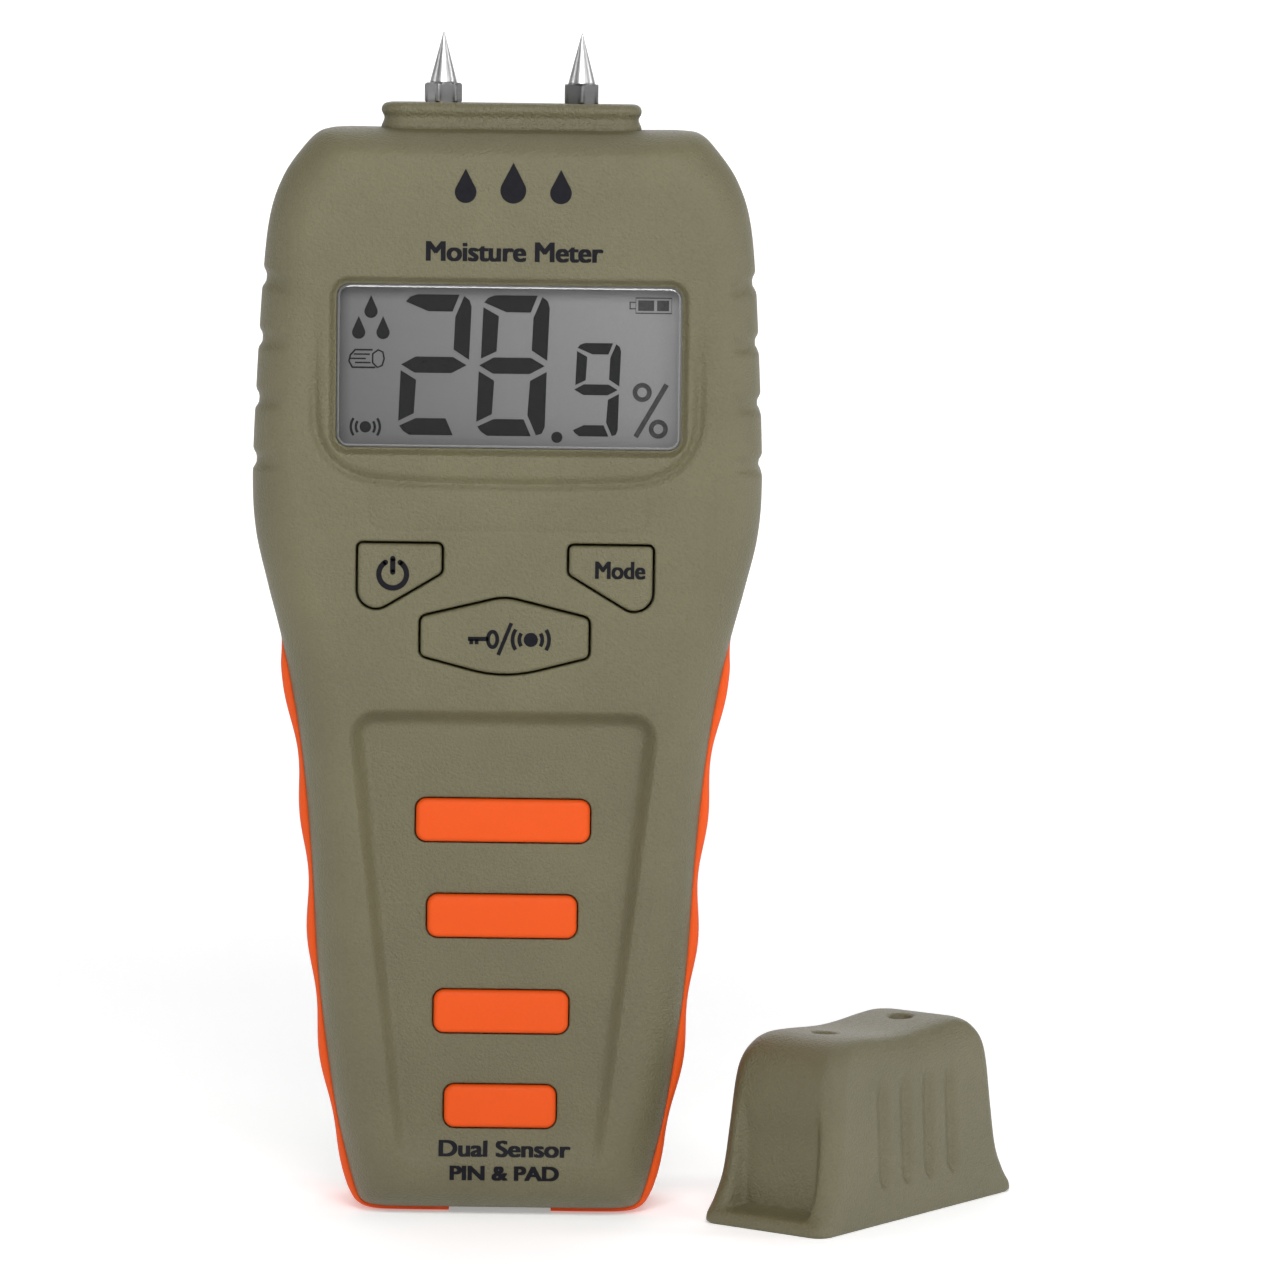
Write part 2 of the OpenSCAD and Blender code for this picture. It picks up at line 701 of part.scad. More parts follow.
module cap_shell() {
    groove_pitch = 6.15;
    color(olive) placed_cap() difference() {
        cap_outside();
        translate([0, 0, -1]) linear_extrude(cap_step_z + 1) round_rect(cap_bore_w, cap_bore_d, 4.2);
        translate([0, 0, -1]) linear_extrude(cap_h - 1.6) round_rect(34, 13.8, 3);
        for (s = [-1, 1]) {
            translate([s * pin_spacing / 2, 0, cap_h - 8]) cylinder(r = check_hole_r, h = 10);
            translate([s * pin_spacing / 2, 0, cap_h - 0.7])
                cylinder(r1 = check_hole_r, r2 = check_hole_r + 0.8, h = 0.8);
            translate([s * 26, 0, 9]) cube([8, 13.5, 14.4], center = true);
            for (i = [-1.5 : 1.5]) translate([i * groove_pitch, s * 12.1, 5.3])
                cylinder(r = 1.9, h = cap_h - 9);
        }
    }
}

module cap_insert() {
    color(black) placed_cap() difference() {
        union() {
            translate([0, 0, cap_step_z - 1.6]) linear_extrude(1.6) round_rect(38.8, 17.6, 4);
            translate([0, 0, cap_step_z]) linear_extrude(3) round_rect(33.9, 13.7, 3);
        }
        for (s = [-1, 1]) translate([s * pin_spacing / 2, 0, cap_step_z + 1.2])
            cylinder(r = 2.4 + slack, h = 10);
    }
}

module cap_contacts() {
    foot = cap_step_z + 1.2;
    color(brass) placed_cap() for (s = [-1, 1]) translate([s * pin_spacing / 2, 0, 0]) difference() {
        translate([0, 0, foot]) cylinder(r = 2.4, h = cap_h - 2.7 - foot);
        translate([0, 0, foot + 1]) cylinder(r = 1.7, h = cap_h);
    }
}

module cap_resistor() {
    z = cap_step_z + 4.2;
    reach = pin_spacing / 2 - 2.4;
    color([0.75, 0.6, 0.4]) placed_cap() {
        translate([0, 0, z]) rotate([0, 90, 0]) cylinder(r = 1.1, h = 6.4, center = true);
        translate([0, 0, z]) rotate([0, 90, 0]) cylinder(r = 0.3, h = 2 * reach, center = true);
    }
}

front_shell();
rear_shell();
left_grip();
right_grip();
pad_insert();
pin_collar();
pin_sockets();
left_pin();
right_pin();
window_lens();
lcd_glass();
lcd_frame();
lcd_backlight();
lcd_connector();
main_board();
board_chips();
buzzer();
key_mat();
power_key();
mode_key();
hold_key();
power_dome();
mode_dome();
hold_dome();
battery();
battery_studs();
battery_snap();
battery_leads();
battery_door();
sensor_plate();
sensor_lead();
pin_leads();
case_screws();
board_screws();
cap_shell();
cap_insert();
cap_contacts();
cap_resistor();
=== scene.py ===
"""The looks of the moisture meter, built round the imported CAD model.

Shapes are worked out in millimetres in the model's own frame (X right, Y back, Z up) and turned into metres
when a mesh is made.
"""
import math

import bpy
import numpy as np
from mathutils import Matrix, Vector
from mathutils.geometry import delaunay_2d_cdt


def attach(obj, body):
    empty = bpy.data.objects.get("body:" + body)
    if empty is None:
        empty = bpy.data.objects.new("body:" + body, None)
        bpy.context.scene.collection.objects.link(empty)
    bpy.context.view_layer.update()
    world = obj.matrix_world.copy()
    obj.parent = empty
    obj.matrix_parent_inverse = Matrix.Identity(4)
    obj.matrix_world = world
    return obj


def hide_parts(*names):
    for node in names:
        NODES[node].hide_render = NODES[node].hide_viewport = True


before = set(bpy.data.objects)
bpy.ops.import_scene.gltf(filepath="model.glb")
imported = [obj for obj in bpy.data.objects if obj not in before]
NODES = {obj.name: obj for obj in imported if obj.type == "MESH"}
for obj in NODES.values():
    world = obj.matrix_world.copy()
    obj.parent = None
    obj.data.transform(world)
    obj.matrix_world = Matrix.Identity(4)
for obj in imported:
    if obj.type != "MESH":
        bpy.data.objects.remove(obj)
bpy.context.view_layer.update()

MM = 0.001
COLLECTION = bpy.context.scene.collection


# --- Outlines: arrays of [x, z] in millimetres ---

def spline(points, steps):
    """A smooth curve through the points."""
    p = np.array(points, float)
    out = []
    for i in range(len(p) - 1):
        a, b, c, d = p[max(i - 1, 0)], p[i], p[i + 1], p[min(i + 2, len(p) - 1)]
        for t in np.arange(steps) / steps:
            out.append(0.5 * (2 * b + (c - a) * t + (2 * a - 5 * b + 4 * c - d) * t ** 2
                              + (3 * b - a - 3 * c + d) * t ** 3))
    out.append(p[-1])
    return np.array(out)


def lengths(path):
    """The distance along the path to each point."""
    return np.concatenate([[0], np.cumsum(np.linalg.norm(np.diff(path, axis=0), axis=1))])


def resample(path, step, closed=False):
    """The path with points about step apart."""
    if closed:
        path = np.vstack([path, path[:1]])
    s = lengths(path)
    keep = np.concatenate([[True], np.diff(s) > 1e-9])
    s, path = s[keep], path[keep]
    n = max(3, int(round(s[-1] / step)))
    at = np.linspace(0, s[-1], n + 1)
    out = np.stack([np.interp(at, s, path[:, k]) for k in range(path.shape[1])], 1)
    return out[:-1] if closed else out


def rounded(corners, step=0.3):
    """A closed loop from corners [x, z, radius]."""
    c = np.array(corners, float)
    out = []
    for i in range(len(c)):
        a, b, d, r = c[i - 1][:2], c[i][:2], c[(i + 1) % len(c)][:2], c[i][2]
        u, v = (a - b) / np.linalg.norm(a - b), (d - b) / np.linalg.norm(d - b)
        half = math.acos(np.clip(u @ v, -1, 1)) / 2
        bis = (u + v) / np.linalg.norm(u + v)
        centre = b + bis * r / math.sin(half)
        p0, p1 = b + u * r / math.tan(half) - centre, b + v * r / math.tan(half) - centre
        start = math.atan2(p0[1], p0[0])
        sweep = (math.atan2(p1[1], p1[0]) - start + math.pi) % (2 * math.pi) - math.pi
        n = max(3, int(abs(sweep) * r / step) + 1)
        out += [centre + r * np.array([math.cos(start + sweep * k / n), math.sin(start + sweep * k / n)])
                for k in range(n + 1)]
    return counter_clockwise(resample(np.array(out), step, True))


def rect(w, h, r, x=0.0, z=0.0, step=0.3):
    return rounded([[x - w / 2, z - h / 2, r], [x + w / 2, z - h / 2, r], [x + w / 2, z + h / 2, r],
                    [x - w / 2, z + h / 2, r]], step)


def counter_clockwise(loop):
    x, z = loop[:, 0], loop[:, 1]
    return loop if np.sum(x * np.roll(z, -1) - np.roll(x, -1) * z) > 0 else loop[::-1]


def normals(path, closed=True):
    """Unit normals to the right of the path: outwards on a counter-clockwise loop."""
    if closed:
        t = np.roll(path, -1, 0) - np.roll(path, 1, 0)
    else:
        t = np.gradient(path, axis=0)
    t /= np.linalg.norm(t, axis=1)[:, None]
    return np.stack([t[:, 1], -t[:, 0]], 1)


def moved(path, d, closed=True):
    """The path shifted along its normals: a loop grows by d, or shrinks if d is negative."""
    return path + normals(path, closed) * d


def inside(points, loop):
    """Which points lie inside the loop, by counting the edges that a ray crosses."""
    x, z = points[:, 0][:, None], points[:, 1][:, None]
    x1, z1 = loop[:, 0][None], loop[:, 1][None]
    x2, z2 = np.roll(loop[:, 0], -1)[None], np.roll(loop[:, 1], -1)[None]
    with np.errstate(divide="ignore", invalid="ignore"):
        hit = ((z1 > z) != (z2 > z)) & (x < (x2 - x1) * (z - z1) / (z2 - z1) + x1)
    return hit.sum(1) % 2 == 1


def distance(points, path, closed=True, reach=6.0):
    """Distance to a loop, negative inside it, or plain distance to an open path. Far points get reach."""
    out = np.full(len(points), float(reach))
    lo, hi = path.min(0) - reach, path.max(0) + reach
    near = np.where(((points > lo) & (points < hi)).all(1))[0]
    a = path if closed else path[:-1]
    b = np.roll(path, -1, 0) if closed else path[1:]
    ab = b - a
    for part in np.array_split(near, max(1, len(near) // 4000)):
        q = points[part][:, None] - a[None]
        t = np.clip((q * ab).sum(2) / (ab * ab).sum(1), 0, 1)
        out[part] = np.sqrt(((q - t[..., None] * ab) ** 2).sum(2)).min(1)
        if closed:
            out[part] *= np.where(inside(points[part], path), -1, 1)
    if closed:
        core = np.where(out == reach)[0]
        out[core[inside(points[core], path)]] = -reach
    return out


def smooth(t):
    t = np.clip(t, 0, 1)
    return t * t * (3 - 2 * t)


def mirror_x(loop):
    return counter_clockwise(loop * np.array([-1, 1]))


def at_y(loop, y):
    """Points in (x, z) set at a depth y, which is one number or one for each point."""
    return np.stack([loop[:, 0], np.broadcast_to(y, len(loop)), loop[:, 1]], 1)


# --- Meshes ---

def piece(name, verts, faces, material, body, replaces=(), slot=None, sharp=32.0):
    """A mesh piece from points in millimetres, shaded smooth apart from edges over the sharp angle."""
    mesh = bpy.data.meshes.new(name)
    mesh.from_pydata((np.asarray(verts, float) * MM).tolist(), [], [tuple(map(int, f)) for f in faces])
    mesh.validate()
    mesh.update()
    mesh.polygons.foreach_set("use_smooth", [True] * len(mesh.polygons))
    mesh.set_sharp_from_angle(angle=math.radians(sharp))
    obj = bpy.data.objects.new(name, mesh)
    COLLECTION.objects.link(obj)
    mesh.materials.append(material)
    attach(obj, body)
    if replaces:
        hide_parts(*replaces)
    return obj


class Build:
    """Points and faces gathered for one mesh. Loops that meet share their points by welding at the end."""

    def __init__(self):
        self.v, self.f = [], []

    def add(self, points):
        start = len(self.v)
        self.v += [tuple(p) for p in np.asarray(points, float)]
        return list(range(start, len(self.v)))

    def strip(self, a, b, closed=True):
        n = len(a)
        for i in range(n if closed else n - 1):
            j = (i + 1) % n
            self.f.append((a[i], a[j], b[j], b[i]))

    def rings(self, rings, closed=True):
        ids = [self.add(r) for r in rings]
        for a, b in zip(ids, ids[1:]):
            self.strip(a, b, closed)
        return ids

    def patch(self, points, triangles, flip=False):
        """A triangulated sheet; flip turns its faces the other way."""
        start = self.add(points)[0]
        self.f += [tuple(start + i for i in (t[::-1] if flip else t)) for t in triangles]

    def cap(self, ids, flip=False):
        self.f.append(tuple(ids[::-1] if flip else ids))

    def welded(self, tolerance=1e-4):
        v = np.array(self.v)
        key = np.round(v / tolerance).astype(np.int64)
        _, first, inverse = np.unique(key, axis=0, return_index=True, return_inverse=True)
        inverse = inverse.ravel()
        faces = []
        for f in self.f:
            g = [int(inverse[i]) for i in f]
            g = [a for k, a in enumerate(g) if a != g[k - 1]]
            if len(set(g)) == len(g) and len(g) > 2:
                faces.append(g)
        return v[first], faces


def triangulated(boundary, chains, holes, grid):
    """Triangles over the inside of boundary less the holes. chains are (path, closed) that edges follow.
    Points about grid apart fill the rest, less those nearer than 0.6 grid to a chain."""
    chains = [(boundary, True)] + chains
    points, edges = [], []
    for path, closed in chains:
        start = len(points)
        points += [tuple(p) for p in path]
        n = len(path)
        edges += [(start + i, start + (i + 1) % n) for i in range(n if closed else n - 1)]
    fixed = np.array(points)
    lo, hi = boundary.min(0), boundary.max(0)
    xs, zs = np.arange(lo[0], hi[0], grid), np.arange(lo[1], hi[1], grid * 0.866)
    gx, gz = np.meshgrid(xs, zs)
    gx = gx + (np.arange(len(zs)) % 2)[:, None] * grid / 2
    fill = np.stack([gx.ravel(), gz.ravel()], 1)
    fill = fill[inside(fill, boundary)]
    for hole in holes:
        fill = fill[~inside(fill, hole)]
    keep = np.ones(len(fill), bool)
    for part in np.array_split(np.arange(len(fill)), max(1, len(fill) // 500)):
        d = ((fill[part][:, None] - fixed[None]) ** 2).sum(2).min(1)
        keep[part] = d > (0.6 * grid) ** 2
    points += [tuple(p) for p in fill[keep]]
    v, _, f, *_ = delaunay_2d_cdt([Vector(p) for p in points], edges, [], 0, 1e-5)
    v = np.array([tuple(p) for p in v])
    f = np.array([tuple(t) for t in f])
    mid = v[f].mean(1)
    a, b = v[f[:, 1]] - v[f[:, 0]], v[f[:, 2]] - v[f[:, 0]]
    sliver = 0.5 * np.abs(a[:, 0] * b[:, 1] - a[:, 1] * b[:, 0]) < 1e-3
    keep = inside(mid, boundary) & ~sliver
    for hole in holes:
        keep &= ~inside(mid, hole)
    return v, f[keep]


# --- The case's shape, as in the CAD ---

# Depth of the flat face, depth of the rounding beside it, and the heights of the case's two ends and of
# the flat face's lower edge.
FACE_Y = 15.0
FILLET = 8.0
BASE_Z = 0.6
TOP_Z = 162.2
FACE_LOW_Z = 7.2
# Half outlines, from the middle of the base round to the middle of the top, matching point for point.
CASE_EDGE = [[0, BASE_Z], [7, BASE_Z], [14, BASE_Z], [18.6, 0.75], [20.8, 1.5], [21.8, 3.4], [23, 7.6],
             [24.7, 15], [26.3, 25], [27.8, 38], [28.8, 54], [30.4, 70], [32.9, 84], [35.6, 94.6],
             [37.4, 102.5], [37.9, 111], [37.4, 125], [36.5, 141], [35.5, 149.5], [33.6, 155],
             [30.9, 159], [28.3, 161.6], [25.3, TOP_Z], [19.3, TOP_Z], [9, TOP_Z], [0, TOP_Z]]
FACE_EDGE = [[0, FACE_LOW_Z], [5.5, FACE_LOW_Z], [10, FACE_LOW_Z], [12.8, 7.5], [14.6, 8.6], [15.7, 10.4],
             [16.7, 13.4], [18.1, 19], [19.6, 28], [20.8, 39.5], [21.9, 54], [23.5, 70], [25.9, 84],
             [28.4, 94.6], [30.3, 102.5], [31.1, 111], [30.8, 125], [29.9, 139], [29, 146.5],
             [27.6, 151.2], [25.4, 154.6], [23.2, 156.7], [20.6, 157.4], [15.5, 157.4], [7.5, 157.4],
             [0, 157.4]]


def outline_pair(step):
    """The case's edge and the flat face's edge as matching half loops, with points about step apart."""
    pair = np.hstack([spline(CASE_EDGE, 8), spline(FACE_EDGE, 8)])
    s = lengths(pair[:, :2])
    keep = np.concatenate([[True], np.diff(s) > 1e-6])
    at = np.linspace(0, s[-1], int(s[-1] / step))
    out = np.stack([np.interp(at, s[keep], pair[keep, k]) for k in range(4)], 1)
    return out[:, :2], out[:, 2:]


def whole(half):
    """Both sides of a half loop that starts and ends on the middle line."""
    other = half[-2:0:-1] * np.array([-1, 1])
    return np.vstack([half, other])


CASE_HALF, FACE_HALF = outline_pair(0.45)
CASE_LOOP, FACE_LOOP = whole(CASE_HALF), whole(FACE_HALF)

# Heights of the side notches, and the depth of the V at the parting line.
NOTCHES = [140, 131, 122, 113]
PARTING = 0.18


def notch(points, into):
    """How deep the side notches are at points that lie this far in from the case's edge."""
    z = points[:, 1]
    depth = sum(np.clip(1.35 - np.abs(z - c) / 1.25, 0, 1) for c in NOTCHES)
    depth = smooth(depth) * smooth((4.6 - into) / 1.4)
    return 0.55 * depth * (np.abs(points[:, 0]) > 25)


def case_rings():
    """Rings of points over the front half, from the parting line to the flat face."""
    out = []
    case_n = normals(CASE_LOOP)
    rows = [(0.0, 0.0, PARTING), (0.22, 0.0, 0.0)]
    rows += [(y, 0.0, 0.0) for y in np.linspace(1.2, FACE_Y - FILLET, 6)]
    rows += [(FACE_Y - FILLET * (1 - math.sin(a)), 1 - math.cos(a), 0.0)
             for a in np.linspace(0, math.pi / 2, 15)[1:]]
    for y, f, inset in rows:
        p = CASE_LOOP + (FACE_LOOP - CASE_LOOP) * f
        into = np.linalg.norm(p - CASE_LOOP, axis=1)
        cut = notch(CASE_LOOP, into)
        across = 1 - f
        p = p - case_n * (cut * across + inset)[:, None]
        back = cut * math.sqrt(max(0.0, 1 - across ** 2)) if f > 0 else 0 * cut
        out.append(at_y(p, back - y))
    return out


# --- Front features ---

LENS_Z = 127.3
LENS = rect(51, 24.2, 1.9, 0.2, LENS_Z)
SIDE_KEY = rounded([[9.1, 101.4, 1], [22.1, 101.4, 1], [22.1, 88.9, 3], [9.1, 96.7, 1.2]])
KEYS = {"power_key": mirror_x(SIDE_KEY), "mode_key": SIDE_KEY,
        "hold_key": rounded([[-12.75, 90.5, 1.3], [0, 93.6, 8], [12.75, 90.5, 1.3], [12.75, 84.3, 1.3],
                             [0, 81, 20], [-12.75, 84.3, 1.3]])}
PADS = [(59.8, 26.2), (45.5, 22.6), (31.2, 20.4), (17.0, 17.0)]
PAD_H = 6.7
PAD_LOOPS = [rect(w, PAD_H, 1.7, 0, z) for z, w in PADS]
# The sunk panel, and the depth of its floor at z = 0 and at its top.
PANEL_TOP = 76
PANEL = rounded([[-22.9, PANEL_TOP, 3.6], [22.9, PANEL_TOP, 3.6], [14.9, 8.4, 2.6], [-14.9, 8.4, 2.6]], 0.4)
PANEL_LOW, PANEL_HIGH = 0.9, 2.7
PANEL_SLOPE = (PANEL_HIGH - PANEL_LOW) / PANEL_TOP
GROOVE = resample(spline([[-28.4, 138], [-28.4, 130], [-28.4, 122], [-27.9, 117], [-25.6, 113.2],
                          [-21.5, 111], [-15, 110.3], [0, 110], [15, 110.3], [21.5, 111], [25.6, 113.2],
                          [27.9, 117], [28.4, 122], [28.4, 130], [28.4, 138]], 8), 0.4)
# Depths of the panel's raised lip, the groove and the label line, the bevel round the window, and the radii
# of the rims round the keys and the pads.
LIP, GROOVE_DEPTH, LABEL_DEPTH = 0.18, 0.7, 0.14
BEVEL_DEPTH, BEVEL_WIDTH = 1.25, 1.15
KEY_RIM, PAD_RIM = 0.35, 0.22


def floor_depth(z):
    """Depth of the sunk panel's floor, which runs out to nothing at its lower end."""
    return (PANEL_LOW + PANEL_SLOPE * np.clip(z, 0, 1.1 * PANEL_TOP)) * smooth((z - 6.5) / 7)


def rim(d, r):
    """Depth of a rounded rim of radius r at distance d outside a hole."""
    s = np.clip(r - d, 0, r)
    return r - np.sqrt(np.maximum(r * r - s * s, 0))


def arc_points(x, z, r, start, stop, n=7):
    """n points on an arc about (x, z), with its start and stop in degrees."""
    a = np.radians(np.linspace(start, stop, n))
    return np.stack([x + r * np.cos(a), z + r * np.sin(a)], 1)


# The faint line of the label field between the display and the keys.
LABEL_LINE = resample(np.vstack([[[-20.3, 108.4]], arc_points(-18.3, 105.1, 2, 180, 270),
                                 arc_points(18.7, 105.1, 2, 270, 360), [[20.7, 108.4]]]), 0.5, False)


def front_depth(p):
    """How far the front surface lies behind the flat face at points inside the face's edge."""
    z = p[:, 1]
    to_panel = distance(p, PANEL)
    wall = 2.3 + 0.5 * smooth((z - 40) / 30)
    depth = floor_depth(z) * smooth((0.6 - to_panel) / wall) ** 0.85
    lip = LIP * smooth((74 - z) / 8) * smooth((z - 8) / 12)
    depth -= lip * np.exp(-((to_panel - 1.1) / 0.95) ** 2)
    groove = GROOVE_DEPTH * smooth((139 - z) / 22)
    depth += groove * np.exp(-(distance(p, GROOVE, False) / 0.75) ** 2)
    depth += LABEL_DEPTH * np.exp(-(distance(p, LABEL_LINE, False) / 0.3) ** 2)
    depth += BEVEL_DEPTH * smooth((BEVEL_WIDTH - distance(p, LENS)) / BEVEL_WIDTH) ** 0.9
    for loops, r in ((KEYS.values(), KEY_RIM), (PAD_LOOPS, PAD_RIM)):
        for loop in loops:
            depth += rim(distance(p, loop, reach=2), r)
    return depth


def front_case():
    """The front half: rounded sides, face with its sunk panel and grooves, and the walls of its openings.
    Chains of points beside each feature let its edge show in the mesh."""
    b = Build()
    b.rings(case_rings())
    chains = [(moved(LENS, d), True) for d in (0, 0.2, 0.4, 0.6, 0.8, 1.0, 1.2, 1.5)]
    for loop in KEYS.values():
        chains += [(moved(loop, d), True) for d in (0, 0.06, 0.14, 0.24, 0.36, 0.55)]
    for loop in PAD_LOOPS:
        chains += [(moved(loop, d), True) for d in (0, 0.05, 0.12, 0.24, 0.4)]
    chains += [(moved(PANEL, d), True)
               for d in (0.6, 0.45, 0.25, 0, -0.3, -0.6, -0.9, -1.2, -1.6, -2.0, -2.4, -2.8)]
    chains += [(moved(GROOVE, d, False), False) for d in np.arange(-1.5, 1.51, 0.3)]
    chains += [(moved(LABEL_LINE, d, False), False) for d in (-0.6, -0.3, 0, 0.3, 0.6)]
    holes = [LENS, *KEYS.values(), *PAD_LOOPS]
    v, f = triangulated(FACE_LOOP, chains, holes, 1.3)
    on_edge = np.abs(distance(v, FACE_LOOP)) < 1e-3
    depth = np.where(on_edge, 0, front_depth(v))
    b.patch(at_y(v, depth - FACE_Y), f, True)
    for loop, wall in [(LENS, 1.6)] + [(k, 2.0) for k in KEYS.values()] + [(k, 1.6) for k in PAD_LOOPS]:
        top = front_depth(loop) - FACE_Y
        b.rings([at_y(loop, top), at_y(loop, top + wall)])
    return b.welded()


def pillow(loop, top_y, edge_r, depth, crown=0.0, tilt=0.0, z0=0.0):
    """A key or pad: rounded edge, slightly crowned top, straight sides. Grows from top_y towards +Y."""
    b = Build()
    rings = [(0.0, depth), (0.0, edge_r)]
    rings += [(edge_r * (1 - math.cos(a)), edge_r * (1 - math.sin(a)))
              for a in np.linspace(0, math.pi / 2, 7)[1:]]
    loops = []
    for inset, y in rings:
        p = moved(loop, -inset)
        loops.append(at_y(p, top_y + y + tilt * (p[:, 1] - z0)))
    b.rings(loops)
    inner = moved(loop, -edge_r)
    v, f = triangulated(inner, [], [], 0.9)
    d = -distance(v, inner)
    b.patch(at_y(v, top_y - crown * smooth(d / 2.5) + tilt * (v[:, 1] - z0)), f, True)
    return b.welded()


# --- Materials ---

def material(name, colour, roughness, metallic=0.0, **extra):
    m = bpy.data.materials.new(name)
    m.use_nodes = True
    s = m.node_tree.nodes["Principled BSDF"]
    s.inputs["Base Color"].default_value = (*colour, 1)
    s.inputs["Roughness"].default_value = roughness
    s.inputs["Metallic"].default_value = metallic
    for k, v in extra.items():
        s.inputs[k.replace("_", " ")].default_value = v
    return m


def noise(m, scale, detail=2.0, rough=0.5, stretch=None):
    t, l = m.node_tree.nodes, m.node_tree.links
    tex, co = t.new("ShaderNodeTexNoise"), t.new("ShaderNodeTexCoord")
    tex.inputs["Scale"].default_value = scale
    tex.inputs["Detail"].default_value = detail
    tex.inputs["Roughness"].default_value = rough
    src = co.outputs["Object"]
    if stretch:
        mp = t.new("ShaderNodeMapping")
        mp.inputs["Scale"].default_value = stretch
        l.new(src, mp.inputs["Vector"])
        src = mp.outputs["Vector"]
    l.new(src, tex.inputs["Vector"])
    return tex.outputs["Fac"]


def ramp(m, source, stops):
    r = m.node_tree.nodes.new("ShaderNodeValToRGB")
    e = r.color_ramp.elements
    while len(e) < len(stops):
        e.new(0.5)
    for item, (at, c) in zip(e, stops):
        item.position = at
        item.color = (*c, 1) if len(c) == 3 else c
    m.node_tree.links.new(source, r.inputs["Fac"])
    return r.outputs["Color"]


def bump(m, source, height):
    t, l = m.node_tree.nodes, m.node_tree.links
    n = t.new("ShaderNodeBump")
    n.inputs["Distance"].default_value = height
    l.new(source, n.inputs["Height"])
    l.new(n.outputs["Normal"], t["Principled BSDF"].inputs["Normal"])


def spread(m, socket, lo, hi, a, b):
    """A value that goes from a at lo to b at hi, and stays there."""
    n = m.node_tree.nodes.new("ShaderNodeMapRange")
    for key, value in (("From Min", lo), ("From Max", hi), ("To Min", a), ("To Max", b)):
        n.inputs[key].default_value = value
    m.node_tree.links.new(socket, n.inputs["Value"])
    return n.outputs["Result"]


def place(m, kind="Object"):
    """X, Y and Z of the shaded point, in metres, in the model's frame."""
    t = m.node_tree.nodes
    xyz = t.new("ShaderNodeSeparateXYZ")
    m.node_tree.links.new(t.new("ShaderNodeTexCoord").outputs[kind], xyz.inputs[0])
    return xyz.outputs


def combined(m, a, b, how="MULTIPLY"):
    n = m.node_tree.nodes.new("ShaderNodeMath")
    n.operation = how
    for k, source in enumerate((a, b)):
        if isinstance(source, (int, float)):
            n.inputs[k].default_value = source
        else:
            m.node_tree.links.new(source, n.inputs[k])
    return n.outputs[0]


def shade(m, socket, source):
    m.node_tree.links.new(source, m.node_tree.nodes["Principled BSDF"].inputs[socket])


def mottled(m, source, dark, light, lo=0.3, hi=0.7, colour=(1, 1, 1)):
    """The colour times dark where the source is lo, and times light where it is hi."""
    c = np.array(colour)
    return ramp(m, source, [(lo, tuple(c * dark)), (hi, tuple(c * light))])


def moulded(name, colour, roughness, grain, height, vary, **extra):
    """Moulded plastic or rubber: fine spark-eroded grain, faint mottling and uneven gloss. Sizes in mm."""
    m = material(name, colour, roughness, **extra)
    fine = noise(m, 1000 / grain, 3, 0.6)
    both = combined(m, combined(m, noise(m, 60, 3), 0.45), combined(m, fine, 0.55), "ADD")
    shade(m, "Base Color", mottled(m, both, 1 - vary, 1 + vary, 0.35, 0.65, colour))
    shade(m, "Roughness", mottled(m, fine, max(0.02, roughness - 0.09), min(1, roughness + 0.09)))
    bump(m, fine, height * MM)
    return m


OLIVE = moulded("olive_plastic", (0.113, 0.1015, 0.0505), 0.44, 0.4, 0.26, 0.13, Specular_IOR_Level=0.5)
ORANGE = moulded("orange_rubber", (0.66, 0.072, 0.003), 0.6, 0.5, 0.03, 0.03, Specular_IOR_Level=0.25)


# --- Case ---

KEY_GAP, KEY_PROUD, KEY_CROWN = 0.33, 0.3, 0.08
PAD_GAP, PAD_PROUD = 0.16, 0.75

piece("front_case", *front_case(), OLIVE, "case", ["front_shell"], "case_plastic", 38)
for node, loop in KEYS.items():
    v, f = pillow(moved(loop, -KEY_GAP), -FACE_Y - KEY_PROUD, 0.55, 3.2, KEY_CROWN)
    piece(node + "_cap", v, f, OLIVE, node.replace("key", "button"), [node], "case_plastic")

pads = Build()
for (z, _), loop in zip(PADS, PAD_LOOPS):
    top = -FACE_Y + float(floor_depth(z)) - PAD_PROUD
    pads.patch(*pillow(moved(loop, -PAD_GAP), top, 0.75, 2.9, 0.1, PANEL_SLOPE, z))
piece("front_pads", *pads.welded(), ORANGE, "case", ["pad_insert"], "grip_rubber")


# --- Grips ---

# Front and rear edge, height of the upper end, half the gap between the grips under the base, rounding of
# the long edges and of the upper corners.
GRIP_FRONT, GRIP_BACK = -8.5, 9.5
GRIP_TOP = 87.6
GRIP_GAP = 7.5
GRIP_EDGE, GRIP_CORNER = 1.5, 6


def grip_thickness(z):
    """Thickness proud of the case: finger waves, thin under the base, nothing at the top."""
    rise = BASE_Z + (0.95 - BASE_Z) * np.clip((z - BASE_Z) / 3, 0, 1)
    wave = 0.35 * np.clip(z / 12, 0, 1) * np.cos(2 * np.pi * (z - 60) / 18.2)
    t = (rise + wave) * smooth((GRIP_TOP + 0.5 - z) / 6)
    return np.where(z < BASE_Z + 0.01, BASE_Z, t)


